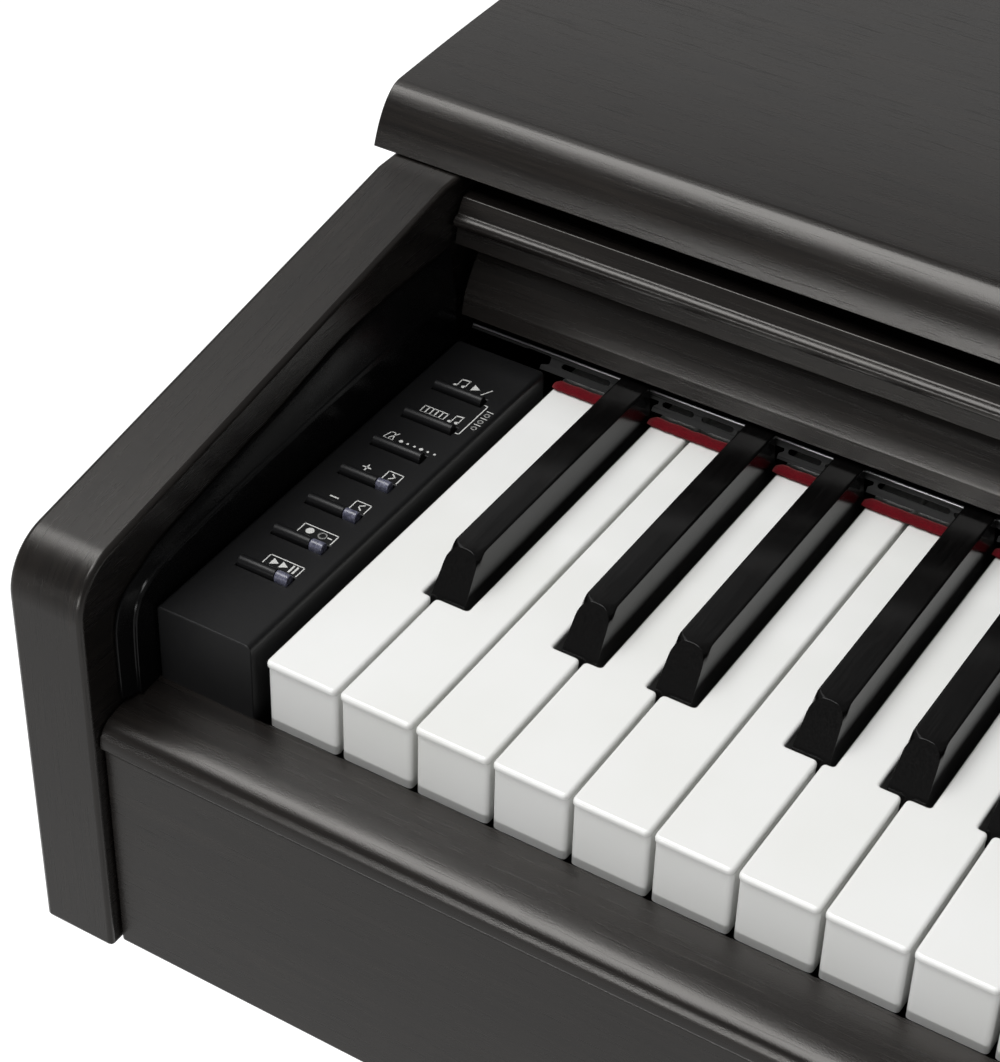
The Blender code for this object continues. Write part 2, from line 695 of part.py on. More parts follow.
def music_rest():
    front = 0.012
    lip = 0.020
    outline = [(front, REST_UNDER), (REST_REACH, REST_UNDER), (REST_REACH, REST_TOP), (lip, REST_TOP),
               (lip, LIP_TOP), (front, LIP_TOP)]
    rest = plate("music_rest", outline, "x", (-REST_HALF, REST_HALF))
    soften(rest, 1.5)
    axis = pivot("music_rest_pivot", (0.0, *REST_AXIS))
    carry(rest, axis)
    finish_of(rest, ROSEWOOD)
    stay_y = REST_AXIS[0] + STAY_OFFSET
    stay_z = REST_UNDER - 0.002
    for name, side in (("left_rest_stay", -1), ("right_rest_stay", 1)):
        middle = side * STAY_PLACE
        half = STAY_THICKNESS / 2
        stay = box(name, (middle - 0.009, middle + 0.009), (stay_y - half, stay_y + STAY_LENGTH),
                   (stay_z - half, stay_z + half))
        hinge = pivot(name + "_pivot", (middle, stay_y, stay_z))
        carry(stay, hinge)
        carry(hinge, axis)
        finish_of(stay, STEEL)


# ---- Stand -----------------------------------------------------------------
LEG_TOP = (KEY_TOP_Z + CABINET_BOTTOM - GAP) * MM
FOOT_HEIGHT = 0.045
LEG_INNER = (KEYBOARD_WIDTH / 2 + PANEL_INNER) * MM
LEG_OUTER = LEG_INNER + PANEL_THICKNESS * MM
FOOT_HALF = 0.0185
FOOT_FRONT = -0.200
FOOT_REAR = 0.205
LEG_FRONT = -0.012
LEG_REAR = 0.190


def leg_outline():
    shoulder = arc((LEG_FRONT - 0.075, 0.500), 0.075, 0, 60, 7)
    toe = arc((LEG_FRONT - 0.04, 0.095), 0.04, -60, 0, 5)
    return [(LEG_REAR, FOOT_HEIGHT + GAP * MM), (LEG_FRONT - 0.026, FOOT_HEIGHT + GAP * MM), *toe,
            *shoulder, (-0.085, 0.600), (-0.085, LEG_TOP), (LEG_REAR, LEG_TOP)]


def foot_outline():
    toe = arc((FOOT_FRONT + 0.060, FOOT_HEIGHT - 0.060), 0.060, 135, 90, 6)
    return [(FOOT_FRONT, 0.0), (FOOT_FRONT, toe[0][1] - 0.006), *toe, (FOOT_REAR, FOOT_HEIGHT), (FOOT_REAR, 0.0)]


def stand():
    for side, number in (("left", -1), ("right", 1)):
        edges = sorted((number * LEG_INNER, number * LEG_OUTER))
        leg = plate(side + "_leg", leg_outline(), "x", edges)
        soften(leg, 1.5)
        finish_of(leg, ROSEWOOD)
        middle = sum(edges) / 2
        foot = plate(side + "_foot", foot_outline(), "x", (middle - FOOT_HALF, middle + FOOT_HALF))
        soften(foot, 2.0)
        finish_of(foot, ROSEWOOD)
    inside = LEG_INNER - GAP * MM
    panel = box("rear_panel", (-inside, inside), (0.165, 0.180), (0.175, 0.470))
    soften(panel, 1.2)
    finish_of(panel, ROSEWOOD)


BOX_WALL = 0.012
BOX_Y = (0.060, 0.160)
BOX_Z = (0.062, 0.160)
PEDAL_PLACES = (-0.075, 0.0, 0.075)
PEDAL_AXIS = (0.142, 0.1035)
PEDAL_Z = (0.1000, 0.1070)
PEDAL_TIP = -0.046
PEDAL_HALF = 0.0115
PEDAL_NECK = 0.0080


def pedal_outline(place):
    """Pedal seen from above: a rounded, slightly wider tip and a straight lever."""
    tip = arc((place, PEDAL_TIP + PEDAL_HALF), PEDAL_HALF, 180, 360, 10)
    return [*tip, (place + PEDAL_HALF, 0.010), (place + PEDAL_NECK, 0.045), (place + PEDAL_NECK, 0.148),
            (place - PEDAL_NECK, 0.148), (place - PEDAL_NECK, 0.045), (place - PEDAL_HALF, 0.010)]


def pedals():
    low, high = BOX_Z
    front, rear = BOX_Y
    outline = [(rear, low), (front, low), (front, high), (rear, high), (rear, high - BOX_WALL),
               (front + BOX_WALL, high - BOX_WALL), (front + BOX_WALL, low + BOX_WALL), (rear, low + BOX_WALL)]
    inside = LEG_INNER - GAP * MM
    case = plate("pedal_box", outline, "x", (-inside, inside))
    finish_of(case, ROSEWOOD)
    for name, place in zip(("soft_pedal", "sostenuto_pedal", "damper_pedal"), PEDAL_PLACES):
        slot = (place - PEDAL_NECK - 0.002, place + PEDAL_NECK + 0.002)
        combine(case, box(name + "_slot", slot, (front - 0.02, front + BOX_WALL + 0.02), (0.084, 0.112), cutters))
        pedal = plate(name, pedal_outline(place), "z", PEDAL_Z)
        soften(pedal, 1.5)
        axis = pivot(name + "_pivot", (place, *PEDAL_AXIS))
        carry(pedal, axis)
        finish_of(pedal, BRASS)
    middle = sum(BOX_Y) / 2
    outline = [(0.0, 61.7), (6.0, 61.7), (6.0, 14.0), (14.0, 12.0), (20.0, 9.0), (20.0, 1.5), (18.5, 0.0), (0.0, 0.0)]
    adjuster = turned("pedal_adjuster", outline, (0.0, middle, 0.0))
    finish_of(adjuster, BLACK_PLASTIC)


side_panels()
top_board()
front_pieces()
bed_and_back()
cheeks()
key_cover()
key_frame()
single_white_keys()
single_black_keys()
upper_white_keys()
upper_black_keys()
left_controls()
right_controls()
speakers()
circuit_board()
jack_panel()
headphone_pieces()
music_rest()
stand()
pedals()
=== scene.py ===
import math

import bmesh
import bpy
from mathutils import Matrix, Vector


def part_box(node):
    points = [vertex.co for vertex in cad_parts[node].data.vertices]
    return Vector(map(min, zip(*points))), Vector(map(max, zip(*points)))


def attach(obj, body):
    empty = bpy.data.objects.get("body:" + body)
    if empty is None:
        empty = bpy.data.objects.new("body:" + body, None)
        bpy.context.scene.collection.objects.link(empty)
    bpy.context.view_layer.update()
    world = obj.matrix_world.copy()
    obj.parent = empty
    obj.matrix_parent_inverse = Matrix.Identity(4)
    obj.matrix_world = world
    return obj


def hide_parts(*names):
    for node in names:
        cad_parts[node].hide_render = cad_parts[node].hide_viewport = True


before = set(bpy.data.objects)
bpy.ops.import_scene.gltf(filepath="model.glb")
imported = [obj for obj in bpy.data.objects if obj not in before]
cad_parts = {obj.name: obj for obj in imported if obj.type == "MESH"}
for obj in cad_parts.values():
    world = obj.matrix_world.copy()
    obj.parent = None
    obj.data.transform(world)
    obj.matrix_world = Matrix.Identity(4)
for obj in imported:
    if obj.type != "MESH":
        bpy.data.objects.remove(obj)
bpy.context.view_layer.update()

MM = 0.001
KEY_PITCH = 23.5
KEY_GAP = 1.2
WHITE_KEYS = 52
KEYBOARD_WIDTH = KEY_PITCH * WHITE_KEYS
OCTAVE = 7 * KEY_PITCH
LOWEST_C = 2 * KEY_PITCH
BLACK_SLOTS = [(14.0, 29.1), (42.7, 57.4), (83.2, 97.6), (110.2, 124.6), (137.3, 151.8)]
first_low, first_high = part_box("white_key_A0")
ORIGIN = Vector((first_low.x - KEY_GAP / 2 * MM, first_low.y, first_high.z))


def at(across, behind, above):
    """World position of a place on the keyboard's grid."""
    return ORIGIN + Vector((across, behind, above)) * MM


def mirrored(span):
    """The same span across at the other end of the instrument."""
    return (KEYBOARD_WIDTH - span[1], KEYBOARD_WIDTH - span[0])


# ---- Camera, floor and light -----------------------------------------------
CAMERA_PLACE = (326.65, -424.41, 476.30)
CAMERA_AIM = (23.5, 80.5, 0.0)
CAMERA_ROLL = 1.56
CAMERA_LENS = 91.65
ROOM_LIGHT = 0.15
FLOOR_REACH = 12.0
# Soft boxes: name, place and aim in metres, width and height, watts
SOFT_BOXES = [
    ("key_light", (-1.1, -0.6, 3.0), (-0.3, 0.0, 0.74), (2.4, 1.2), 60.0),
    ("back_light", (-0.95, 1.95, 1.80), (-0.2, 0.05, 0.80), (2.8, 0.85), 4.3),
    ("left_light", (-1.87, 0.81, 2.60), (-0.65, -0.15, 0.78), (0.9, 0.9), 2.2),
    ("front_light", (-0.75, -2.6, 0.95), (-0.35, 0.0, 0.80), (1.6, 0.34), 17.0),
]


def make_camera():
    """The photograph's view: down on the left end of the keys, from the front right."""
    data = bpy.data.cameras.new("camera")
    data.lens = CAMERA_LENS
    data.sensor_width = 36.0
    data.clip_start = 0.02
    data.clip_end = 100.0
    place = at(*CAMERA_PLACE)
    look = (at(*CAMERA_AIM) - place).normalized()
    level = look.cross(Vector((0.0, 0.0, 1.0))).normalized()
    rise = level.cross(look)
    roll = math.radians(CAMERA_ROLL)
    right = level * math.cos(roll) + rise * math.sin(roll)
    up = rise * math.cos(roll) - level * math.sin(roll)
    turn = Matrix((right, up, -look)).transposed()
    camera = bpy.data.objects.new("camera", data)
    bpy.context.scene.collection.objects.link(camera)
    camera.matrix_world = Matrix.Translation(place) @ turn.to_4x4()
    bpy.context.scene.camera = camera


def area_light(name, place, aim, size, power):
    """A rectangular soft box at place, turned towards aim."""
    data = bpy.data.lights.new(name, "AREA")
    data.shape = "RECTANGLE"
    data.size, data.size_y = size
    data.energy = power
    light = bpy.data.objects.new(name, data)
    bpy.context.scene.collection.objects.link(light)
    light.location = place
    direction = Vector(aim) - Vector(place)
    light.rotation_euler = direction.to_track_quat("-Z", "Y").to_euler()


def studio():
    """White room light, a pale floor and four soft boxes."""
    world = bpy.data.worlds.new("studio")
    bpy.context.scene.world = world
    world.use_nodes = True
    backdrop = world.node_tree.nodes["Background"]
    backdrop.inputs["Color"].default_value = (1.0, 1.0, 1.0, 1.0)
    backdrop.inputs["Strength"].default_value = ROOM_LIGHT
    bpy.context.scene.view_settings.view_transform = "Standard"
    shape = bmesh.new()
    bmesh.ops.create_grid(shape, x_segments=2, y_segments=2, size=FLOOR_REACH)
    mesh = bpy.data.meshes.new("floor")
    shape.to_mesh(mesh)
    shape.free()
    floor = bpy.data.objects.new("floor", mesh)
    bpy.context.scene.collection.objects.link(floor)
    mesh.materials.append(floor_finish())
    for box in SOFT_BOXES:
        area_light(*box)


# ---- Finishes --------------------------------------------------------------
class Tree:
    """A material's node tree, with short ways to add and join its nodes."""

    def __init__(self, name, colour, roughness, **settings):
        self.material = bpy.data.materials.new(name)
        self.material.use_nodes = True
        self.nodes = self.material.node_tree.nodes
        self.links = self.material.node_tree.links
        self.shader = self.nodes["Principled BSDF"]
        self.shader.inputs["Base Color"].default_value = (*colour, 1.0)
        self.shader.inputs["Roughness"].default_value = roughness
        self.material.diffuse_color = (*colour, 1.0)
        for socket, value in settings.items():
            self.shader.inputs[socket.replace("_", " ")].default_value = value
        self.place = self.nodes.new("ShaderNodeTexCoord").outputs["Object"]

    def join(self, output, node_input):
        self.links.new(output, node_input)

    def stretched(self, scale):
        """The piece's own coordinates in metres, times scale along each axis."""
        node = self.nodes.new("ShaderNodeMapping")
        node.inputs["Scale"].default_value = scale
        self.join(self.place, node.inputs["Vector"])
        return node.outputs["Vector"]

    def noise(self, vector, detail=3.0, roughness=0.55, scale=1.0):
        node = self.nodes.new("ShaderNodeTexNoise")
        node.inputs["Scale"].default_value = scale
        node.inputs["Detail"].default_value = detail
        node.inputs["Roughness"].default_value = roughness
        self.join(vector, node.inputs["Vector"])
        return node.outputs["Fac"]

    def remap(self, value, low, high, new_low=0.0, new_high=1.0):
        node = self.nodes.new("ShaderNodeMapRange")
        self.join(value, node.inputs["Value"])
        for socket, number in zip(("From Min", "From Max", "To Min", "To Max"),
                                  (low, high, new_low, new_high)):
            node.inputs[socket].default_value = number
        return node.outputs["Result"]

    def blend(self, share, first, second):
        """A colour between two, each a colour or another node's output."""
        node = self.nodes.new("ShaderNodeMix")
        node.data_type = "RGBA"
        self.join(share, node.inputs["Factor"])
        for index, value in ((6, first), (7, second)):
            if isinstance(value, tuple):
                node.inputs[index].default_value = (*value, 1.0)
            else:
                self.join(value, node.inputs[index])
        return node.outputs[2]

    def math(self, operation, first, second):
        node = self.nodes.new("ShaderNodeMath")
        node.operation = operation
        for index, value in enumerate((first, second)):
            if isinstance(value, (int, float)):
                node.inputs[index].default_value = value
            else:
                self.join(value, node.inputs[index])
        return node.outputs["Value"]

    def colour(self, output):
        self.join(output, self.shader.inputs["Base Color"])

    def roughness(self, output):
        self.join(output, self.shader.inputs["Roughness"])

    def bump(self, height, strength, distance_mm):
        node = self.nodes.new("ShaderNodeBump")
        node.inputs["Strength"].default_value = strength
        node.inputs["Distance"].default_value = distance_mm * MM
        self.join(height, node.inputs["Height"])
        self.join(node.outputs["Normal"], self.shader.inputs["Normal"])


WOOD_DARK = (0.0078, 0.0068, 0.0064)
WOOD_LIGHT = (0.0170, 0.0142, 0.0122)
WOOD_PORE = (0.0035, 0.0030, 0.0028)
GRAIN_LENGTH = 50.0         # pore noise cells per metre along the grain
GRAIN_WIDTH = 1700.0        # and across it


def rosewood(name, along):
    """Dark stained wood under satin lacquer, its grain running along one axis.

    "edge" is for a panel's edge band, where the grain follows the panel's outline.
    """
    tree = Tree(name, WOOD_DARK, 0.24, Specular_IOR_Level=0.5)
    tree.shader.inputs["Specular Tint"].default_value = (1.0, 0.975, 0.94, 1.0)
    fine = {"x": (GRAIN_LENGTH, GRAIN_WIDTH, GRAIN_WIDTH), "y": (GRAIN_WIDTH, GRAIN_LENGTH, GRAIN_WIDTH),
            "z": (GRAIN_WIDTH, GRAIN_WIDTH, GRAIN_LENGTH)}
    if along == "edge":
        split = tree.nodes.new("ShaderNodeSeparateXYZ")
        merge = tree.nodes.new("ShaderNodeCombineXYZ")
        tree.join(tree.place, split.inputs["Vector"])
        tree.join(split.outputs["X"], merge.inputs["Y"])
        length = tree.math("ADD", split.outputs["Y"], split.outputs["Z"])
        tree.join(length, merge.inputs["X"])
        tree.place = merge.outputs["Vector"]
        along = "x"
    scale = Vector(fine[along])
    pores = tree.remap(tree.noise(tree.stretched(scale), 2.0, 0.6), 0.58, 0.70, 0.0, 0.9)
    streaks = tree.noise(tree.stretched(scale * 0.45), 4.0, 0.62)
    figure = tree.noise(tree.stretched(Vector((s ** 0.62 for s in scale))), 3.0, 0.5)
    lacquer = tree.noise(tree.place, 2.0, 0.6, scale=2500.0)
    tone = tree.math("MULTIPLY", tree.remap(streaks, 0.34, 0.70), tree.remap(figure, 0.30, 0.72, 0.25, 1.0))
    stain = tree.blend(tone, WOOD_DARK, WOOD_LIGHT)
    tree.colour(tree.blend(pores, stain, WOOD_PORE))
    sheen = tree.math("ADD", tree.remap(streaks, 0.3, 0.7, 0.22, 0.27),
                      tree.remap(pores, 0.0, 1.0, 0.0, 0.10))
    tree.roughness(sheen)
    relief = tree.math("SUBTRACT", tree.math("MULTIPLY", lacquer, 1.0), tree.math("MULTIPLY", pores, 0.16))
    relief = tree.math("ADD", relief, tree.math("MULTIPLY", streaks, 0.07))
    tree.bump(relief, 0.9, 0.045)
    return tree.material


def moulded_plastic(name, colour=(0.0060, 0.0060, 0.0063), roughness=0.42, grain=0.3, gloss=0.28):
    """Black moulded plastic with a fine spark-eroded texture."""
    tree = Tree(name, colour, roughness, Specular_IOR_Level=gloss)
    grit = tree.noise(tree.place, 2.0, 0.6, scale=2600.0)
    patches = tree.noise(tree.place, 3.0, 0.5, scale=28.0)
    tree.roughness(tree.math("ADD", tree.remap(patches, 0.3, 0.7, roughness - 0.05, roughness + 0.05),
                             tree.remap(grit, 0.3, 0.7, -0.03, 0.03)))
    lighter = tuple(c * 1.5 for c in colour)
    tree.colour(tree.blend(tree.remap(grit, 0.4, 0.75), colour, lighter))
    tree.bump(grit, grain, 0.03)
    return tree.material


def white_key_finish():
    """Glossy white key plastic, very slightly uneven as moulded, a touch of handling wear."""
    tree = Tree("white_key_plastic", (0.86, 0.86, 0.84), 0.16, Specular_IOR_Level=0.5, Coat_Weight=0.25,
                Coat_Roughness=0.08)
    clouds = tree.noise(tree.place, 3.0, 0.5, scale=22.0)
    wear = tree.noise(tree.stretched((420.0, 60.0, 420.0)), 3.0, 0.6)
    tree.colour(tree.blend(tree.remap(clouds, 0.3, 0.7), (0.845, 0.848, 0.822), (0.880, 0.882, 0.868)))
    tree.roughness(tree.remap(wear, 0.3, 0.7, 0.13, 0.22))
    tree.bump(tree.noise(tree.place, 1.0, 0.5, scale=60.0), 0.10, 0.08)
    return tree.material


def black_key_finish():
    """Satin black key plastic with fine lengthwise polishing marks."""
    tree = Tree("black_key_plastic", (0.004, 0.0037, 0.0037), 0.20, Specular_IOR_Level=0.32)
    marks = tree.noise(tree.stretched((2400.0, 90.0, 2400.0)), 3.0, 0.6)
    grit = tree.noise(tree.place, 2.0, 0.5, scale=1800.0)
    tree.colour(tree.blend(tree.remap(marks, 0.35, 0.7), (0.0018, 0.0017, 0.0017), (0.0042, 0.0039, 0.0038)))
    tree.roughness(tree.remap(marks, 0.3, 0.7, 0.15, 0.21))
    tree.bump(tree.math("ADD", marks, tree.math("MULTIPLY", grit, 0.6)), 0.10, 0.012)
    return tree.material


def felt_finish():
    """Woven red felt with a soft nap."""
    tree = Tree("red_felt_nap", (0.20, 0.002, 0.008), 0.95, Sheen_Weight=0.35, Sheen_Roughness=0.5,
                Specular_IOR_Level=0.15)
    tree.shader.inputs["Sheen Tint"].default_value = (0.9, 0.25, 0.25, 1.0)
    fibres = tree.noise(tree.place, 5.0, 0.75, scale=1900.0)
    tufts = tree.noise(tree.place, 3.0, 0.6, scale=260.0)
    shade = tree.math("MULTIPLY", tree.remap(fibres, 0.25, 0.75), tree.remap(tufts, 0.25, 0.75, 0.6, 1.0))
    tree.colour(tree.blend(shade, (0.050, 0.0006, 0.003), (0.205, 0.0022, 0.010)))
    tree.bump(fibres, 0.9, 0.25)
    return tree.material


def coated_metal(name, colour, roughness, metallic, grain=900.0):
    """Plated or painted sheet metal with an orange-peel skin and faint rolling lines."""
    tree = Tree(name, colour, roughness, Metallic=metallic)
    peel = tree.noise(tree.place, 2.0, 0.5, scale=grain)
    lines = tree.noise(tree.stretched((40.0, 1600.0, 1600.0)), 3.0, 0.6)
    darker = tuple(c * 0.72 for c in colour)
    tree.colour(tree.blend(tree.remap(lines, 0.3, 0.7), darker, colour))
    tree.roughness(tree.remap(lines, 0.3, 0.7, roughness - 0.06, roughness + 0.08))
    tree.bump(tree.math("ADD", peel, tree.math("MULTIPLY", lines, 0.5)), 0.18, 0.02)
    return tree.material


def lamp_finish():
    """Pale bluish translucent plastic over an unlit lamp."""
    tree = Tree("lamp_lens", (0.20, 0.21, 0.30), 0.22, Specular_IOR_Level=0.6, Subsurface_Weight=0.25)
    tree.shader.inputs["Subsurface Radius"].default_value = (0.001, 0.001, 0.0015)
    cells = tree.noise(tree.place, 2.0, 0.6, scale=900.0)
    tree.colour(tree.blend(tree.remap(cells, 0.35, 0.65), (0.070, 0.072, 0.105), (0.150, 0.152, 0.205)))
    tree.roughness(tree.remap(cells, 0.3, 0.7, 0.15, 0.35))
    tree.bump(cells, 0.3, 0.05)
    return tree.material


def ink_finish():
    """Screen-printed off-white ink, slightly broken over the plastic's texture."""
    tree = Tree("printed_ink", (0.62, 0.62, 0.60), 0.55)
    breaks = tree.noise(tree.place, 2.0, 0.6, scale=3200.0)
    tree.colour(tree.blend(tree.remap(breaks, 0.30, 0.48), (0.30, 0.30, 0.29), (0.68, 0.68, 0.66)))
    tree.bump(breaks, 0.2, 0.02)
    return tree.material


def board_finish():
    """Green solder mask over copper traces."""
    tree = Tree("solder_mask", (0.010, 0.085, 0.030), 0.30, Coat_Weight=0.4)
    cells = tree.nodes.new("ShaderNodeTexBrick")
    tree.join(tree.stretched((260.0, 260.0, 260.0)), cells.inputs["Vector"])
    cells.inputs["Color1"].default_value = (0.008, 0.070, 0.026, 1.0)
    cells.inputs["Color2"].default_value = (0.012, 0.100, 0.038, 1.0)
    cells.inputs["Mortar"].default_value = (0.030, 0.200, 0.070, 1.0)
    cells.inputs["Mortar Size"].default_value = 0.04
    tree.colour(cells.outputs["Color"])
    tree.roughness(tree.remap(tree.noise(tree.place, 3.0, 0.6, scale=120.0), 0.3, 0.7, 0.22, 0.42))
    tree.bump(cells.outputs["Fac"], 0.3, 0.1)
    return tree.material


def cone_finish():
    """Pressed paper pulp of a speaker cone."""
    tree = Tree("cone_paper", (0.022, 0.021, 0.020), 0.85)
    pulp = tree.noise(tree.place, 5.0, 0.7, scale=700.0)
    tree.colour(tree.blend(tree.remap(pulp, 0.3, 0.7), (0.012, 0.0115, 0.011), (0.045, 0.043, 0.040)))
    tree.bump(pulp, 0.6, 0.15)
    return tree.material


def floor_finish():
    """Pale seamless studio floor with a barely visible mottle, glowing as painted light, dimmer towards the
    front and brighter towards the back.
    """
    tree = Tree("studio_floor", (0.36, 0.36, 0.36), 0.85, Specular_IOR_Level=0.1)
    mottle = tree.noise(tree.place, 4.0, 0.55, scale=3.0)
    tree.colour(tree.blend(tree.remap(mottle, 0.2, 0.8), (0.350, 0.350, 0.350), (0.370, 0.370, 0.370)))
    # The floor glows as painted light: its emission rises from dim in front of the piano to bright behind it.
    tree.shader.inputs["Emission Color"].default_value = (1.0, 1.0, 1.0, 1.0)
    split = tree.nodes.new("ShaderNodeSeparateXYZ")
    tree.join(tree.place, split.inputs["Vector"])
    painted_floor_glow = tree.remap(split.outputs["Y"], -0.55, 0.15, 0.30, 0.90)
    tree.join(painted_floor_glow, tree.shader.inputs["Emission Strength"])
    return tree.material


make_camera()
studio()

WOOD_X = rosewood("rosewood_lengthwise", "x")
WOOD_Y = rosewood("rosewood_front_to_back", "y")
WOOD_Z = rosewood("rosewood_upright", "z")
WOOD_EDGE = rosewood("rosewood_edge_band", "edge")
PLASTIC = moulded_plastic("moulded_black_plastic")
BUTTON_PLASTIC = moulded_plastic("button_plastic", (0.0075, 0.0075, 0.0080), 0.36, 0.12)
RUBBER = moulded_plastic("black_rubber", (0.012, 0.012, 0.012), 0.70, 0.5)
WHITE_PLASTIC = white_key_finish()
BLACK_GLOSS = black_key_finish()
FELT = felt_finish()
FLANGE_METAL = coated_metal("black_plated_steel", (0.030, 0.030, 0.030), 0.30, 0.35)
BRIGHT_STEEL = coated_metal("zinc_plated_steel", (0.56, 0.56, 0.57), 0.30, 1.0)
BRASS = coated_metal("polished_brass", (0.72, 0.50, 0.20), 0.22, 1.0, 400.0)
LAMP = lamp_finish()
INK = ink_finish()
GREEN_BOARD = board_finish()
CONE_PAPER = cone_finish()


# ---- Shape tools -----------------------------------------------------------
AXIS_ORDER = {
    "x": lambda u, v, w: (w, u, v),
    "y": lambda u, v, w: (u, w, v),
    "z": lambda u, v, w: (u, v, w),
}


def filleted(points, steps=4):
    """A closed outline with the corners given as (u, v, radius) rounded off."""
    outline = []
    for index, point in enumerate(points):
        here = Vector(point[:2])
        if len(point) < 3:
            outline.append(tuple(here))
            continue
        before = Vector(points[index - 1][:2]) - here
        after = Vector(points[(index + 1) % len(points)][:2]) - here
        reach = point[2] / math.tan(before.angle(after) / 2)
        reach = min(reach, 0.48 * before.length, 0.48 * after.length)
        start = here + before.normalized() * reach
        end = here + after.normalized() * reach
        for step in range(steps + 1):
            t = step / steps
            outline.append(tuple(start * (1 - t) ** 2 + here * 2 * t * (1 - t) + end * t * t))
    return outline


def arc(centre, radius, start, end, steps):
    """Points along an arc, its angles in degrees."""
    points = []
    for step in range(steps + 1):
        turn = math.radians(start + (end - start) * step / steps)
        points.append((centre[0] + radius * math.cos(turn), centre[1] + radius * math.sin(turn)))
    return points


def circle(centre, radius, sides):
    """Evenly spaced points round a circle."""
    return arc(centre, radius, 0, 360 - 360 / sides, sides - 1)


def rounded(x, y, near, far=None, steps=4):
    """A rectangle with rounded corners: radius near at its low edge and far at its high edge."""
    far = near if far is None else far
    return filleted([(x[0], y[0], near), (x[1], y[0], near), (x[1], y[1], far), (x[0], y[1], far)], steps)


def smooth_line(points, steps=4):
    """A smooth curve through the points, which keeps its two ends."""
    line = []
    vectors = [Vector(p) for p in points]
    for i in range(len(vectors) - 1):
        p0 = vectors[max(i - 1, 0)]
        p1, p2 = vectors[i], vectors[i + 1]
        p3 = vectors[min(i + 2, len(vectors) - 1)]
        for step in range(steps):
            t = step / steps
            line.append(tuple(0.5 * ((2 * p1) + (p2 - p0) * t + (2 * p0 - 5 * p1 + 4 * p2 - p3) * t ** 2
                                     + (3 * p1 - p0 - 3 * p2 + p3) * t ** 3)))
    line.append(tuple(vectors[-1]))
    return line


def skin(rings, shape=None, closed=False):
    """Joins rings of world points, each as long as the last, and closes both ends.

    When closed is set, the last ring joins the first instead, which makes a hollow ring.
    """
    shape = shape or bmesh.new()
    made = [[shape.verts.new(point) for point in ring] for ring in rings]
    pairs = list(zip(made, made[1:]))
    if closed:
        pairs.append((made[-1], made[0]))
    for first, second in pairs:
        for i in range(len(first)):
            j = (i + 1) % len(first)
            shape.faces.new((first[i], first[j], second[j], second[i]))
    if not closed:
        shape.faces.new(made[0][::-1])
        shape.faces.new(made[-1])
    return shape


def run(outline, along, span, shape=None):
    """A closed outline in mm run along an axis, from span[0] to span[1].

    The outline holds (behind, above) pairs along x, (across, above) along y and
    (across, behind) along z.
    """
    order = AXIS_ORDER[along]
    return skin([[at(*order(u, v, w)) for u, v in outline] for w in span], shape)


def block(x, y, z, shape=None):
    """A box from its three spans in mm on the grid."""
    return run([(x[0], y[0]), (x[1], y[0]), (x[1], y[1]), (x[0], y[1])], "z", z, shape)


def disc(centre, radius, along, span, shape=None, sides=32):
    """A cylinder along an axis; centre is its place on the other two."""
    return run(circle(centre, radius, sides), along, span, shape)


def turned(profile, centre, along="z", sides=48, shape=None, hollow=False):
    """A turned solid, or a hollow ring, from (radius, place along the axis) pairs in mm."""
    order = AXIS_ORDER[along]
    rings = []
    for radius, place in profile:
        rings.append([at(*order(u, v, place)) for u, v in circle(centre, max(radius, 0.01), sides)])
    return skin(rings, shape, closed=hollow)


def add_piece(name, shape, finish, body, slot, stands_for=(), edge=0.0, segments=2, angle=32.0):
    """Makes a piece from a bmesh, softens its edges by edge mm and puts it on its body."""
    bmesh.ops.recalc_face_normals(shape, faces=shape.faces)
    mesh = bpy.data.meshes.new(name)
    shape.to_mesh(mesh)
    shape.free()
    finishes = finish if isinstance(finish, (list, tuple)) else [finish]
    for each in finishes:
        mesh.materials.append(each)
    mesh.shade_smooth()
    piece = bpy.data.objects.new(name, mesh)
    bpy.context.scene.collection.objects.link(piece)
    if edge:
        soften(piece, edge, segments, angle)
    else:
        mesh.set_sharp_from_angle(angle=math.radians(angle))
    even = piece.modifiers.new("even normals", "WEIGHTED_NORMAL")
    even.keep_sharp = True
    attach(piece, body)
    if stands_for:
        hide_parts(*stands_for)
    return piece


def fixed(name, shape, finish, slot, stands_for=(), **softness):
    """A piece that stays with the cabinet."""
    return add_piece(name, shape, finish, "cabinet", slot, stands_for, **softness)


def soften(piece, edge, segments=2, angle=32.0):
    """Rounds a piece's edges that are sharper than the angle."""
    bevel = piece.modifiers.new("soft edges", "BEVEL")
    bevel.width = edge * MM
    bevel.segments = segments
    bevel.limit_method = "ANGLE"
    bevel.angle_limit = math.radians(angle)
    bevel.use_clamp_overlap = True
    bevel.harden_normals = True


def cut_away(shape, cutter):
    """The shape less the cutter, both bmeshes, as a new bmesh."""
    pair = []
    for name, source in (("whole", shape), ("cutter", cutter)):
        bmesh.ops.recalc_face_normals(source, faces=source.faces)
        mesh = bpy.data.meshes.new(name)
        source.to_mesh(mesh)
        source.free()
        thing = bpy.data.objects.new(name, mesh)
        bpy.context.scene.collection.objects.link(thing)
        pair.append(thing)
    whole, tool = pair
    step = whole.modifiers.new("cut", "BOOLEAN")
    step.operation = "DIFFERENCE"
    step.solver = "EXACT"
    step.use_self = True
    step.object = tool
    bpy.context.view_layer.update()
    evaluated = whole.evaluated_get(bpy.context.evaluated_depsgraph_get())
    result = bmesh.new()
    result.from_mesh(evaluated.to_mesh())
    evaluated.to_mesh_clear()
    for thing in pair:
        mesh = thing.data
        bpy.data.objects.remove(thing, do_unlink=True)
        bpy.data.meshes.remove(mesh)
    return result


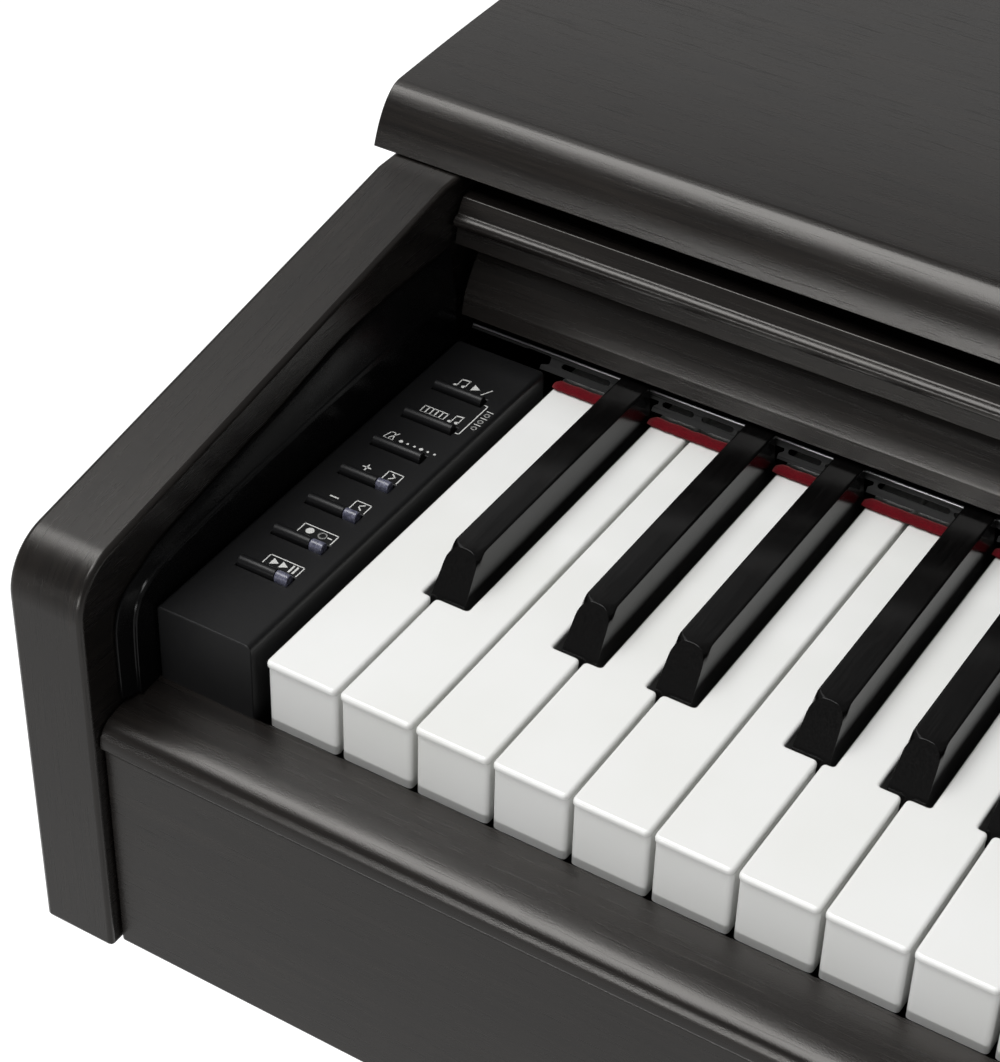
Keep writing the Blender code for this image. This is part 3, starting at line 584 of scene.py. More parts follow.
def screw(shape, centre, along, face, outwards, radius=3.2):
    """A pan-head screw with a round recess; face is the place its head sits on."""
    rise = 2.0 * outwards
    profile = [(radius, face), (radius, face + rise * 0.35), (radius * 0.8, face + rise * 0.8),
               (radius * 0.42, face + rise), (radius * 0.36, face + rise * 0.45), (0.0, face + rise * 0.4)]
    return turned(profile, centre, along, 20, shape)


def screws(name, spots, along, face, outwards, finish, slot, radius=3.2):
    """One piece that holds a screw at each of the spots on a face of the cabinet."""
    shape = bmesh.new()
    for spot in spots:
        screw(shape, spot, along, face, outwards, radius)
    fixed(name, shape, finish, slot)


# ---- Keys ------------------------------------------------------------------
def black_slots():
    """Every black key's slot across the keyboard, from left to right."""
    slots = []
    octave_left = LOWEST_C - OCTAVE
    while octave_left < KEYBOARD_WIDTH:
        for low, high in BLACK_SLOTS:
            if octave_left + low > KEY_PITCH / 2 and octave_left + high < KEYBOARD_WIDTH:
                slots.append((octave_left + low, octave_left + high))
        octave_left += OCTAVE
    return slots


SLOTS = black_slots()
NOTCH = 46.75
KEY_LENGTH = 226.0
WHITE_DEPTH = 24.0
SINGLE_WHITES = ["white_key_" + n for n in ("A0", "B0", "C1", "D1", "E1", "F1", "G1", "A1", "B1")]
SINGLE_BLACKS = ["black_key_" + n for n in
                 ("A_sharp_0", "C_sharp_1", "D_sharp_1", "F_sharp_1", "G_sharp_1", "A_sharp_1")]


def white_key_outline(index):
    """The key seen from above, with its front corners and notches rounded."""
    low = index * KEY_PITCH + KEY_GAP / 2
    high = (index + 1) * KEY_PITCH - KEY_GAP / 2
    left, right = low, high
    for start, end in SLOTS:
        if start < low < end:
            left = end
        if start < high < end:
            right = start
    points = [(left, KEY_LENGTH)]
    if left > low:
        points += [(left, NOTCH, 1.0), (low, NOTCH, 1.7)]
    points += [(low, 0.0, 1.9), (high, 0.0, 1.9)]
    if right < high:
        points += [(high, NOTCH, 1.7), (right, NOTCH, 1.0)]
    points.append((right, KEY_LENGTH))
    return filleted(points)


def inset(outline, distance):
    """The outline, run anticlockwise, moved inwards by distance."""
    moved = []
    count = len(outline)
    for i, (u, v) in enumerate(outline):
        before = Vector(outline[i - 1])
        after = Vector(outline[(i + 1) % count])
        tangent = (after - before).normalized()
        moved.append((u - tangent.y * distance, v + tangent.x * distance))
    return moved


# The white key's edge from its top down: height, inset all round, setback of the front
WHITE_KEY_EDGE = [(0.0, 1.05, 0.0), (-0.04, 0.75, 0.0), (-0.18, 0.40, 0.0), (-0.5, 0.12, 0.0),
                  (-0.95, 0.0, 0.0), (-1.75, 0.0, 0.0), (-2.05, 0.08, 0.12), (-2.25, 0.12, 0.55),
                  (-2.6, 0.12, 0.72), (-WHITE_DEPTH + 0.5, 0.12, 0.72), (-WHITE_DEPTH, 0.5, 1.1)]


def white_key_shape(index):
    """A white key with a rounded top edge and a set-back front under its lip."""
    outline = white_key_outline(index)
    rings = []
    for height, distance, setback in WHITE_KEY_EDGE:
        ring = []
        for u, v in inset(outline, distance):
            front = max(0.0, 1.0 - v / 4.0)
            ring.append(at(u, v + setback * min(front, 1.0), height))
        rings.append(ring)
    return skin(rings)


BLACK_TOP = 11.5
BLACK_REAR = 150.0
BLACK_FOOT = -6.0
# Sections of a black key's raised part: place behind, top corner radius, height
BLACK_SECTIONS = [(47.0, 4.4, BLACK_TOP), (55.4, 4.4, BLACK_TOP), (56.5, 4.0, BLACK_TOP),
                  (57.3, 3.0, BLACK_TOP), (58.1, 1.7, BLACK_TOP), (59.0, 0.9, BLACK_TOP),
                  (60.5, 0.75, BLACK_TOP), (80.0, 0.7, BLACK_TOP), (149.2, 0.75, BLACK_TOP),
                  (BLACK_REAR, 0.9, BLACK_TOP - 0.5)]
BLACK_BASE_HALF = 5.4
BLACK_TOP_HALF = 4.75
FRONT_SLOPE = ((49.2, 0.6), (56.6, BLACK_TOP))    # the front face's foot and head: behind, above


def black_section(middle, radius, height):
    """A rounded, tapering cross-section as (across, above) points, up the left and down the right."""
    side = [(-BLACK_BASE_HALF, BLACK_FOOT), (-BLACK_BASE_HALF, 0.0)]
    lean = (BLACK_BASE_HALF - BLACK_TOP_HALF) / BLACK_TOP
    shoulder = height - radius
    half = BLACK_BASE_HALF - lean * shoulder
    side += [(-half - (BLACK_BASE_HALF - half) * 0.5, shoulder / 2), (-half, shoulder)]
    corner = arc((-half + radius, shoulder), radius, 180, 90, 6)[1:]
    side += [(u * (BLACK_TOP_HALF / half if v > height - 0.1 else 1.0), v) for u, v in corner]
    crown = [(-0.5, height + 0.05)]
    left = side + crown
    return [(middle + u, v) for u, v in left] + [(middle - u, v) for u, v in reversed(left)]


def black_key_shape(slot):
    """A black key: rounded, tapering top, sloped front and the shank behind."""
    middle = sum(slot) / 2
    rings = []
    for place, radius, height in BLACK_SECTIONS:
        rings.append([at(u, place, v) for u, v in black_section(middle, radius, height)])
    shape = skin(rings)
    bmesh.ops.recalc_face_normals(shape, faces=shape.faces)
    (foot_y, foot_z), (head_y, head_z) = FRONT_SLOPE
    normal = Vector((0.0, head_z - foot_z, foot_y - head_y)).normalized()
    cut = bmesh.ops.bisect_plane(shape, geom=shape.verts[:] + shape.edges[:] + shape.faces[:], dist=0.000001,
                                 plane_co=at(middle, foot_y, foot_z), plane_no=-normal, clear_outer=True)
    rim = [e for e in cut["geom_cut"] if isinstance(e, bmesh.types.BMEdge)]
    bmesh.ops.holes_fill(shape, edges=rim, sides=0)
    run_up = [e for e in shape.edges if e in set(rim) and len(e.link_faces) == 2]
    bmesh.ops.bevel(shape, geom=run_up, offset=0.28 * MM, segments=2, profile=0.5, affect="EDGES",
                    clamp_overlap=True)
    shank = run([(BLACK_REAR - 4.0, -1.2), (KEY_LENGTH, -1.2), (KEY_LENGTH, -9.0), (BLACK_REAR - 4.0, -9.0)],
                "x", (middle - 4.6, middle + 4.6), shape)
    return shank


def make_keys():
    """All 88 keys; those seen one by one in the photograph ride on bodies of their own."""
    upper_white, upper_black = "upper_white_keys", "upper_black_keys"
    for index in range(WHITE_KEYS):
        single = index < len(SINGLE_WHITES)
        body = SINGLE_WHITES[index] if single else upper_white
        name = body + "_top" if single else "white_key_%02d" % (index + 1)
        add_piece(name, white_key_shape(index), WHITE_PLASTIC, body, "white_key", [body], angle=42.0)
    for index, slot in enumerate(SLOTS):
        single = index < len(SINGLE_BLACKS)
        body = SINGLE_BLACKS[index] if single else upper_black
        name = body + "_top" if single else "black_key_%02d" % (index + 1)
        add_piece(name, black_key_shape(slot), BLACK_GLOSS, body, "black_key", [body], angle=38.0)


# ---- Felt and key frame ----------------------------------------------------
FLANGE_BEND = (152.0, 8.4)      # behind, above
FLANGE_FOOT = (148.7, 3.9)
TAB_SLOT_WIDTH = 1.7


def tab_spans():
    """The stretches of flange between black keys, as (low, high) across."""
    edges = [-1.2]
    for low, high in SLOTS:
        middle = (low + high) / 2
        edges += [middle - 6.3, middle + 6.3]
    edges.append(KEYBOARD_WIDTH + 1.2)
    return list(zip(edges[::2], edges[1::2]))


def felt_strip():
    """Soft rounded lengths of felt over the key tails, between the black keys."""
    shape = bmesh.new()
    for low, high in tab_spans():
        low, high = max(low, 0.6), min(high, KEYBOARD_WIDTH - 0.6)
        steps = max(4, round((high - low) / 2.0))
        rings = []
        for step in range(steps + 1):
            t = step / steps
            place = low + (high - low) * t
            end = min(t, 1 - t) * (high - low)
            swell = min(1.0, (end / 0.9)) ** 0.5 if end < 0.9 else 1.0
            swell = max(0.45, swell)
            wave = 0.12 * math.sin(place * 0.9) + 0.08 * math.sin(place * 2.3 + 1.0)
            top = 0.35 + (1.85 + wave) * swell
            front = 145.9 + (1.0 - swell) * 0.8 + 0.1 * math.sin(place * 1.7)
            ring = [(front + 0.5, 0.3), (front, 0.9), (front + 0.1, top - 0.5), (front + 0.7, top),
                    (148.2, top + 0.1), (149.3, top - 0.2), (149.9, 0.3)]
            rings.append([at(place, u, v) for u, v in ring])
        skin(rings, shape)
    fixed("key_felt_strip", shape, FELT, "red_felt", ["key_felt"], angle=60.0)


def punched_slots(low, high):
    """A tab's slots: one, or two where a B and a C share the tab."""
    start, end = low + 2.6, high - 2.6
    beside_c = (low + high) / 2 % OCTAVE
    if end - start > 18.0 and abs(beside_c - LOWEST_C) < 6.0:
        middle = (start + end) / 2
        return [(start, middle - 1.3), (middle + 1.3, end)]
    return [(start, end)]


def flange_tabs():
    """The key frame's sloping front flange: one punched tab between each two black keys."""
    depth = (Vector(FLANGE_BEND) - Vector(FLANGE_FOOT)).length
    plate = block((-31.0, KEYBOARD_WIDTH + 31.0), (0.0, depth), (-0.8, 0.0))
    cutter = bmesh.new()
    block((-40.0, -9.0), (-2.0, depth - 1.2), (-3.0, 3.0), cutter)
    block((KEYBOARD_WIDTH + 9.0, KEYBOARD_WIDTH + 40.0), (-2.0, depth - 1.2), (-3.0, 3.0), cutter)
    spans = tab_spans()
    for (_, left), (right, _) in zip(spans, spans[1:]):
        notch = [(left, -2.0), (right, -2.0), (right, 1.6), (right + 1.4, 2.6, 0.5),
                 (right + 1.4, depth - 2.1, 0.9),
                 (left - 1.4, depth - 2.1, 0.9), (left - 1.4, 2.6, 0.5), (left, 1.6)]
        run(filleted(notch), "z", (-3.0, 3.0), cutter)
    for low, high in spans:
        for start, end in punched_slots(low, high):
            half, level = TAB_SLOT_WIDTH / 2, depth * 0.55
            ends = arc((end - half, level), half, -90, 90, 6) + arc((start + half, level), half, 90, 270, 6)
            run(ends, "z", (-3.0, 3.0), cutter)
    for side, edge in ((1.0, -5.2), (-1.0, KEYBOARD_WIDTH + 5.2)):
        hook = [(edge - side * 6.0, -2.0), (edge, -2.0), (edge, 1.4), (edge + side * 2.6, 2.2, 0.8),
                (edge + side * 2.6, 4.6, 0.8), (edge - side * 6.0, 4.6)]
        run(filleted(hook), "z", (-3.0, 3.0), cutter)
    shape = cut_away(plate, cutter)
    foot, bend = Vector(FLANGE_FOOT), Vector(FLANGE_BEND)
    slope = (bend - foot).normalized()
    for vertex in shape.verts:
        place = (vertex.co - ORIGIN) / MM
        spot = foot + slope * place.y + Vector((-slope.y, slope.x)) * place.z
        vertex.co = at(place.x, spot.x, spot.y)
    fixed("key_frame_tabs", shape, FLANGE_METAL, "sheet_metal", ["key_frame"], angle=30.0)


def key_frame():
    """The rest of the bent chassis: rolled front edge, top, rear wall, fulcrum and feet."""
    roll = arc((152.2, 8.35), 0.5, 215, 70, 8)
    outline = [*roll, (152.9, 8.6), (241.8, 8.6), (241.8, -91.9), (228.2, -91.9), (228.2, -60.0),
               (24.2, -60.0), (24.2, -91.9), (12.2, -91.9), (12.2, -57.2), (208.2, -57.2), (208.2, -25.6),
               (219.8, -25.6), (219.8, -57.2), (238.8, -57.2), (238.8, 7.2), (153.2, 7.2)]
    shape = run(outline, "x", (0.5, KEYBOARD_WIDTH - 0.5))
    for low in (-30.8, KEYBOARD_WIDTH - 0.3):
        run([*roll, (152.9, 8.6), (241.8, 8.6), (241.8, 7.2), (153.2, 7.2)], "x", (low, low + 31.1), shape)
    fixed("key_frame_chassis", shape, FLANGE_METAL, "sheet_metal", angle=30.0)
    bend = arc((152.0, 8.5), 0.42, 0, 330, 11)
    fixed("key_frame_bend", run(bend, "x", (-30.8, KEYBOARD_WIDTH + 30.8)), BRIGHT_STEEL,
              "sheet_metal", angle=60.0)


# ---- Cabinet ---------------------------------------------------------------
PANEL_OUTER = 61.0
PANEL_INNER = 37.0
CABINET_FRONT = -28.5
CABINET_BOTTOM = -107.5
CABINET_REAR = 393.5
INSIDE = (-PANEL_INNER + 0.3, KEYBOARD_WIDTH + PANEL_INNER - 0.3)
PANEL_CREST = 31.0
FRONT_RADIUS = 17.0
TOP_SLOPE = 0.168
LID_UNDER = 57.7
LID_TOP = 76.0
LID_OVERHANG = 6.5


def edge_banded(name, outline, span, grain, stands_for):
    """A board run across, the grain's finish on both its faces and the edge band's round them."""
    shape = run(outline, "x", span)
    shape.normal_update()
    for face in shape.faces:
        face.material_index = 0 if abs(face.normal.x) > 0.5 else 1
    fixed(name, shape, [grain, WOOD_EDGE], "rosewood", [stands_for], edge=1.5, segments=3)


def side_panels():
    """Both side panels, with their rounded front corner and sloping top edge."""
    crest_end = (LID_UNDER - PANEL_CREST) / TOP_SLOPE - 13.5
    centre = (CABINET_FRONT + FRONT_RADIUS, PANEL_CREST - FRONT_RADIUS)
    corner = arc(centre, FRONT_RADIUS, 180, 99.5, 14)
    outline = [(CABINET_FRONT, CABINET_BOTTOM), *corner, (crest_end, LID_UNDER), (CABINET_REAR, LID_UNDER),
               (CABINET_REAR, CABINET_BOTTOM)]
    left = (-PANEL_OUTER, -PANEL_INNER)
    for name, span in (("left_side_panel", left), ("right_side_panel", mirrored(left))):
        edge_banded(name + "_board", outline, span, WOOD_Y, name)


# The lid's rounded nose from its underside up: behind, above
LID_NOSE = [(152.9, 58.2), (153.4, 59.6), (154.3, 62.0), (155.6, 64.9), (157.3, 67.8), (159.1, 70.2),
            (160.9, 72.0), (162.8, 73.4), (165.0, 74.3), (170.0, 74.75), (200.0, 75.7), (228.0, 76.0)]


def lid():
    """The top board with its rounded nose."""
    outline = [*smooth_line(LID_NOSE, 3), (CABINET_REAR, LID_TOP), (CABINET_REAR, LID_UNDER + 0.3)]
    span = (-PANEL_OUTER - LID_OVERHANG, KEYBOARD_WIDTH + PANEL_OUTER + LID_OVERHANG)
    fixed("lid", run(outline, "x", span), WOOD_X, "rosewood", ["top_board"], edge=1.6, segments=3, angle=48.0)


def slip_and_boards():
    """The rounded key slip, its thin lip, and the front board under it."""
    lip = smooth_line([(-12.4, -21.5), (-17.6, -22.1), (-21.4, -22.9), (-24.0, -24.5), (-25.6, -27.2)], 3)
    outline = [(-1.9, -20.3), (-3.2, -20.4), *lip, (-25.9, -28.6), (-25.9, -30.6), (-25.3, -31.2),
               (-12.2, -31.2), (-12.2, -92.2), (-3.0, -92.2), (-3.0, -26.0), (-1.9, -24.0)]
    fixed("slip", run(outline, "x", INSIDE), WOOD_X, "rosewood", ["key_slip"], edge=0.35, angle=24.0)
    board = block(INSIDE, (-24.5, -12.5), (CABINET_BOTTOM, -31.9))
    fixed("front_board_panel", board, WOOD_X, "rosewood", ["front_board"], edge=0.9, segments=3)


CHEEK_PLASTIC = moulded_plastic("cheek_plastic", (0.0025, 0.0025, 0.0027), 0.27, 0.08, 0.20)
# Lines on the side panels' inner faces, from the slip back to the cover: behind, above
CHEEK_BOUNDARY = [(-15.8, -19.4), (-16.0, 1.0), (-15.1, 7.4), (-13.3, 11.4), (-10.0, 14.4), (-2.4, 17.6),
                  (8.0, 21.2), (60.0, 29.9), (98.0, 36.2), (146.5, 36.2)]
CHEEK_RIDGE = [(-11.1, -19.4), (-11.1, -6.0), (-10.6, 4.5), (-9.0, 9.8), (-5.6, 13.4), (3.5, 16.4),
               (30.0, 19.0), (70.0, 21.4), (106.0, 22.4), (146.5, 22.8)]


def spread(line, count):
    """The line's points evenly spaced along its length."""
    fine = smooth_line(line, 12)
    lengths = [0.0]
    for first, second in zip(fine, fine[1:]):
        lengths.append(lengths[-1] + (Vector(second) - Vector(first)).length)
    result = []
    spot = 0
    for i in range(count):
        wanted = lengths[-1] * i / (count - 1)
        while spot < len(lengths) - 2 and lengths[spot + 1] < wanted:
            spot += 1
        part = (wanted - lengths[spot]) / max(lengths[spot + 1] - lengths[spot], 1e-9)
        result.append(Vector(fine[spot]).lerp(Vector(fine[spot + 1]), min(max(part, 0.0), 1.0)))
    return result


# The trim's steps away from the panel: across from the keys, share of the way to the ridge, drop
CHEEK_STEPS = [(36.6, 0.0, 0.0), (36.15, 0.0, 0.0), (35.9, 0.04, 0.15), (35.2, 0.40, 0.6), (34.6, 0.82, 0.5),
               (34.35, 0.97, 0.1), (34.1, 1.0, 0.0), (33.95, 1.0, 0.12), (33.75, 1.06, 0.5),
               (33.5, 1.08, 0.9)]


def cheeks():
    """Black trim between each side panel and the keys, with a rounded ridge along it."""
    outer = spread(CHEEK_BOUNDARY, 60)
    ridge = spread(CHEEK_RIDGE, 60)
    foot = [Vector((146.5, -40.0)), Vector((-2.0, -40.0)), Vector((-2.0, -20.0))]
    for name, side in (("left_cheek", -1), ("right_cheek", 1)):
        rings = []
        for depth, share, drop in CHEEK_STEPS:
            line = [a.lerp(b, share) - Vector((0.0, drop)) for a, b in zip(outer, ridge)] + foot
            x = -depth if side < 0 else KEYBOARD_WIDTH + depth
            rings.append([at(x, u, v) for u, v in line])
        fixed(name + "_trim", skin(rings), CHEEK_PLASTIC, "black_plastic", [name], angle=28.0)


# ---- Key cover -------------------------------------------------------------
def key_cover():
    """Moulded front rail in two runs, crown and foot, and the cover board behind it."""
    bead = arc((150.2, 44.6), 2.1, 240, 96, 11)
    crown = smooth_line([(150.6, 46.9), (151.5, 48.4), (152.6, 50.1), (153.4, 51.2)], 3)
    upper = [(149.3, 36.9), (150.5, 42.5), *bead, *crown, (158.0, 51.2), (158.0, 36.9)]
    ends = (-36.2, KEYBOARD_WIDTH + 36.2)
    body = "cover"
    add_piece("cover_rail_crown", run(upper, "x", ends), WOOD_X, body, "rosewood", ["key_cover_rail"],
              edge=0.25, angle=34.0)
    slope = smooth_line([(149.0, 19.2), (150.6, 22.5), (152.6, 25.9), (155.0, 29.2), (157.8, 32.3)], 3)
    lower = [(147.75, 13.8), (149.0, 19.0), *slope, (158.0, 32.4), (158.0, 13.8)]
    narrow = (-32.6, KEYBOARD_WIDTH + 32.6)
    add_piece("cover_rail_foot", run(lower, "x", narrow), WOOD_X, body, "rosewood", edge=0.3, angle=34.0)
    board = block(ends, (158.3, 345.0), (44.0, 50.4))
    add_piece("cover_board", board, WOOD_X, body, "rosewood", ["key_cover"], edge=1.0, segments=3)


# ---- Control panels --------------------------------------------------------
PANEL_TOP = 5.0
CONTROL_SPAN = (-33.0, -2.2)
CONTROL_DEPTH = (-2.4, 146.6)
BUTTON_CENTRE = -17.3
BUTTON_HALF = 8.25
BUTTON_PITCH = 16.3
FIRST_BUTTON = 25.2
LAMP_LENGTH = 4.4
LAMP_COUNT = 4
BUTTON_NAMES = ["play_button", "record_button", "minus_button", "plus_button", "metronome_button",
                "voice_button", "demo_button"]


def control_shell(name, span, cutter):
    """A control panel's shell with openings where the cutter is."""
    outline = filleted([(span[0], -92.0), (span[1], -92.0), (span[1], PANEL_TOP, 1.9),
                        (span[0], PANEL_TOP, 1.2)], 5)
    solid = run(outline, "y", CONTROL_DEPTH)
    shape = cut_away(solid, cutter)
    fixed(name + "_shell", shape, PLASTIC, "black_plastic", [name], edge=0.35, angle=50.0)


def bar_outline(middle, half, top):
    """A button bar's section with a rounded top: behind, above."""
    crown = arc((middle, top - half), half, 180, 0, 12)
    return [(middle - half, PANEL_TOP - 8.5), *crown, (middle + half, PANEL_TOP - 8.5)]


def left_controls():
    """Seven bar buttons in a row, the front four with a lamp at the end."""
    cutter = bmesh.new()
    span = (BUTTON_CENTRE - BUTTON_HALF, BUTTON_CENTRE + BUTTON_HALF)
    for number, name in enumerate(BUTTON_NAMES):
        middle = FIRST_BUTTON + number * BUTTON_PITCH
        block((span[0] - 0.35, span[1] + 0.35), (middle - 2.05, middle + 2.05), (-5.0, 12.0), cutter)
        has_lamp = number < LAMP_COUNT
        bar_end = span[1] - LAMP_LENGTH if has_lamp else span[1]
        bar = run(bar_outline(middle, 1.7, PANEL_TOP + 2.2), "x", (span[0], bar_end))
        add_piece(name + "_bar", bar, BUTTON_PLASTIC, name, "black_plastic", [name], edge=0.22, angle=50.0)
        if has_lamp:
            lens = run(bar_outline(middle, 1.62, PANEL_TOP + 2.1), "x", (bar_end + 0.05, span[1] - 0.05))
            add_piece(name + "_lamp", lens, LAMP, name, "black_plastic", edge=0.35, segments=3, angle=50.0)
    control_shell("left_control_panel", CONTROL_SPAN, cutter)


def right_controls():
    """Power button and volume slider."""
    span = mirrored(CONTROL_SPAN)
    middle = sum(span) / 2
    cutter = block((middle - 6.35, middle + 6.35), (122.0 - 4.85, 122.0 + 4.85), (-5.0, 12.0))
    block((middle - 1.7, middle + 1.7), (78.0 - 23.0, 78.0 + 23.0), (-5.0, 12.0), cutter)
    control_shell("right_control_panel", span, cutter)
    cap = run(rounded((middle - 6.0, middle + 6.0), (117.5, 126.5), 1.2), "z", (-3.5, PANEL_TOP + 1.6))
    add_piece("power_button_cap", cap, BUTTON_PLASTIC, "power_button", "black_plastic", ["power_button"],
              edge=0.6, segments=3, angle=50.0)
    top = PANEL_TOP + 5.5
    side = [(74.0, PANEL_TOP + 0.35), (82.0, PANEL_TOP + 0.35), (82.0, top - 0.6, 0.8), (79.2, top, 0.5),
            (78.0, top - 0.9, 0.9), (76.8, top, 0.5), (74.0, top - 0.6, 0.8)]
    knob = run(filleted(side), "x", (middle - 6.0, middle + 6.0))
    block((middle - 1.2, middle + 1.2), (74.5, 81.5), (PANEL_TOP - 8.0, PANEL_TOP + 0.3), knob)
    add_piece("volume_slider_knob", knob, BUTTON_PLASTIC, "volume_slider", "black_plastic", ["volume_slider"],
              edge=0.3, angle=50.0)


# ---- Printed marks ---------------------------------------------------------
INK_LEVEL = (PANEL_TOP + 0.02, PANEL_TOP + 0.07)
INK_WIDTH = 0.34


def stroke(shape, points, width=INK_WIDTH, along="z", level=INK_LEVEL):
    """A printed line through the points, flat against a face across the given axis."""
    for start, end in zip(points, points[1:]):
        a, b = Vector(start), Vector(end)
        half = (b - a).normalized() * width / 2
        side = Vector((-half.y, half.x))
        a, b = a - half * 0.9, b + half * 0.9
        run([tuple(a - side), tuple(b - side), tuple(b + side), tuple(a + side)], along, level, shape)


def filled(shape, points):
    """A printed solid patch."""
    run(points, "z", INK_LEVEL, shape)


def ring_mark(shape, centre, radius, start=0, end=360, steps=16):
    """A printed ring, or part of one."""
    stroke(shape, arc(centre, radius, start, end, steps))


def bracket(shape, x, y):
    """A bracket open towards the front, round the mark behind a button."""
    stroke(shape, [(x[0], y[0]), (x[0], y[1]), (x[1], y[1]), (x[1], y[0])])


def note(shape, x, y, height=3.4):
    """A printed music note."""
    filled(shape, arc((x, y), 0.62, 0, 330, 11))
    stroke(shape, [(x + 0.5, y), (x + 0.5, y + height)], 0.3)


def left_marks():
    """Plain symbols that stand for what each button does."""
    shape = bmesh.new()
    places = [FIRST_BUTTON + number * BUTTON_PITCH for number in range(len(BUTTON_NAMES))]
    for place in places[:2]:
        bracket(shape, (-20.2, -9.0), (place + 2.7, place + 6.9))
    play, record, minus, plus, beat, voice, demo = places
    for start in (-18.4, -15.4):
        filled(shape, [(start, play + 3.3), (start + 2.3, play + 4.7), (start, play + 6.1)])
    stroke(shape, [(-11.9, play + 3.4), (-11.9, play + 6.0)], 0.6)
    stroke(shape, [(-10.6, play + 3.4), (-10.6, play + 6.0)], 0.6)
    filled(shape, arc((-17.2, record + 4.8), 1.25, 0, 340, 17))
    ring_mark(shape, (-13.0, record + 4.8), 1.2)
    stroke(shape, [(-11.2, record + 4.8), (-10.0, record + 4.8)], 0.4)
    for place, step in ((minus, -1.0), (plus, 1.0)):
        bracket(shape, (-13.9, -9.0), (place + 2.8, place + 6.8))
        middle = -11.45
        stroke(shape, [(middle - 0.7 * step, place + 3.6), (middle + 0.7 * step, place + 4.8),
                       (middle - 0.7 * step, place + 6.0)], 0.4)
        stroke(shape, [(-21.4, place + 4.6), (-19.0, place + 4.6)], 0.5)
    stroke(shape, [(-20.2, plus + 3.4), (-20.2, plus + 5.8)], 0.5)
    stroke(shape, [(-24.6, beat + 3.0), (-23.7, beat + 6.4), (-22.3, beat + 6.4), (-21.4, beat + 3.0),
                   (-24.6, beat + 3.0)])
    stroke(shape, [(-23.0, beat + 3.6), (-21.2, beat + 6.6)])
    for number in range(6):
        size = 0.62 if number % 3 == 0 else 0.40
        filled(shape, arc((-18.9 + number * 2.3, beat + 3.9), size, 0, 330, 11))
    stroke(shape, [(-22.6, voice + 3.0), (-22.6, voice + 6.2), (-14.6, voice + 6.2), (-14.6, voice + 3.0),
                   (-22.6, voice + 3.0)])
    for number in range(1, 5):
        stroke(shape, [(-22.6 + number * 1.6, voice + 3.0), (-22.6 + number * 1.6, voice + 6.0)], 0.42)
    note(shape, -12.6, voice + 3.4)
    note(shape, -10.4, voice + 3.8)
    stroke(shape, [(-12.1, voice + 6.8), (-9.9, voice + 7.2)], 0.5)
    note(shape, -21.0, demo + 3.4)
    note(shape, -18.4, demo + 3.8)
    stroke(shape, [(-20.5, demo + 6.8), (-17.9, demo + 7.2)], 0.5)
    filled(shape, [(-15.8, demo + 3.4), (-13.2, demo + 5.0), (-15.8, demo + 6.6)])
    stroke(shape, [(-11.8, demo + 3.2), (-10.0, demo + 6.8)])
    rail = -6.9
    stroke(shape, [(rail - 1.1, voice - 0.4), (rail, voice - 0.4), (rail, demo - 0.6),
                   (rail - 1.1, demo - 0.6)])
    for number in range(3):
        level = (voice + demo) / 2 - 3.6 + number * 3.6
        ring_mark(shape, (rail + 2.1, level), 0.75, 0, 360, 10)
        stroke(shape, [(rail + 1.1, level + 1.8), (rail + 3.1, level + 1.8)], 0.3)
    fixed("left_panel_marks", shape, INK, "black_plastic", angle=30.0)


def right_marks():
    """Power symbol and volume wedge with its scale."""
    shape = bmesh.new()
    middle = sum(mirrored(CONTROL_SPAN)) / 2
    ring_mark(shape, (middle, 133.6), 2.0, 120, 420, 16)
    stroke(shape, [(middle, 133.8), (middle, 136.2)], 0.45)
    filled(shape, [(middle - 11.6, 58.0), (middle - 10.4, 58.0), (middle - 8.0, 98.0), (middle - 11.6, 98.0)])
    for number in range(9):
        level = 58.0 + number * 5.0
        stroke(shape, [(middle + 8.2, level), (middle + (10.8 if number % 4 == 0 else 9.8), level)], 0.3)
    fixed("right_panel_marks", shape, INK, "black_plastic", angle=30.0)


# ---- Back and underside ----------------------------------------------------
BLACK_STEEL = coated_metal("blackened_steel", (0.045, 0.045, 0.047), 0.34, 0.85)
ALUMINIUM = coated_metal("extruded_aluminium", (0.46, 0.46, 0.47), 0.36, 1.0)
FERRITE = moulded_plastic("sintered_ferrite", (0.022, 0.022, 0.024), 0.62, 0.6)
CHIP_RESIN = moulded_plastic("chip_resin", (0.014, 0.014, 0.015), 0.50, 0.3)
NYLON = moulded_plastic("cream_nylon", (0.58, 0.55, 0.46), 0.42, 0.1, 0.5)
BED_UNDER = CABINET_BOTTOM
BED_TOP = -92.5
BACK_FACE = 393.3
JACK_PLATE = ((200.0, 290.0), (-72.0, -32.0))       # across, above
DATA_SOCKET = ((218.0, 230.0), (-57.5, -46.5))
POWER_INLET = (262.0, -52.0)
SPEAKER_CENTRES = ((120.0, 312.0), (KEYBOARD_WIDTH - 120.0, 312.0))


def places_between(first, last, count):
    """Evenly spaced places, both ends included."""
    return [first + (last - first) * i / (count - 1) for i in range(count)]


def back_board():
    """Rear board with a window for the connectors."""
    face = BACK_FACE - 1.9
    panel = block(INSIDE, (381.2, face), (-92.2, 57.7))
    (left, right), (low, high) = JACK_PLATE
    window = block((left - 0.3, right + 0.3), (370.0, 400.0), (low - 0.3, high + 0.3))
    fixed("back_board_panel", cut_away(panel, window), WOOD_X, "rosewood", ["back_board"], edge=0.8)
    sides = (INSIDE[0] + 10.0, INSIDE[1] - 10.0)
    spots = [(place, level) for level in (-84.0, 49.0) for place in places_between(*sides, 9)]
    spots += [(side, -18.0) for side in sides]
    screws("back_board_screws", spots, "y", face, 1, BLACK_STEEL, "steel")


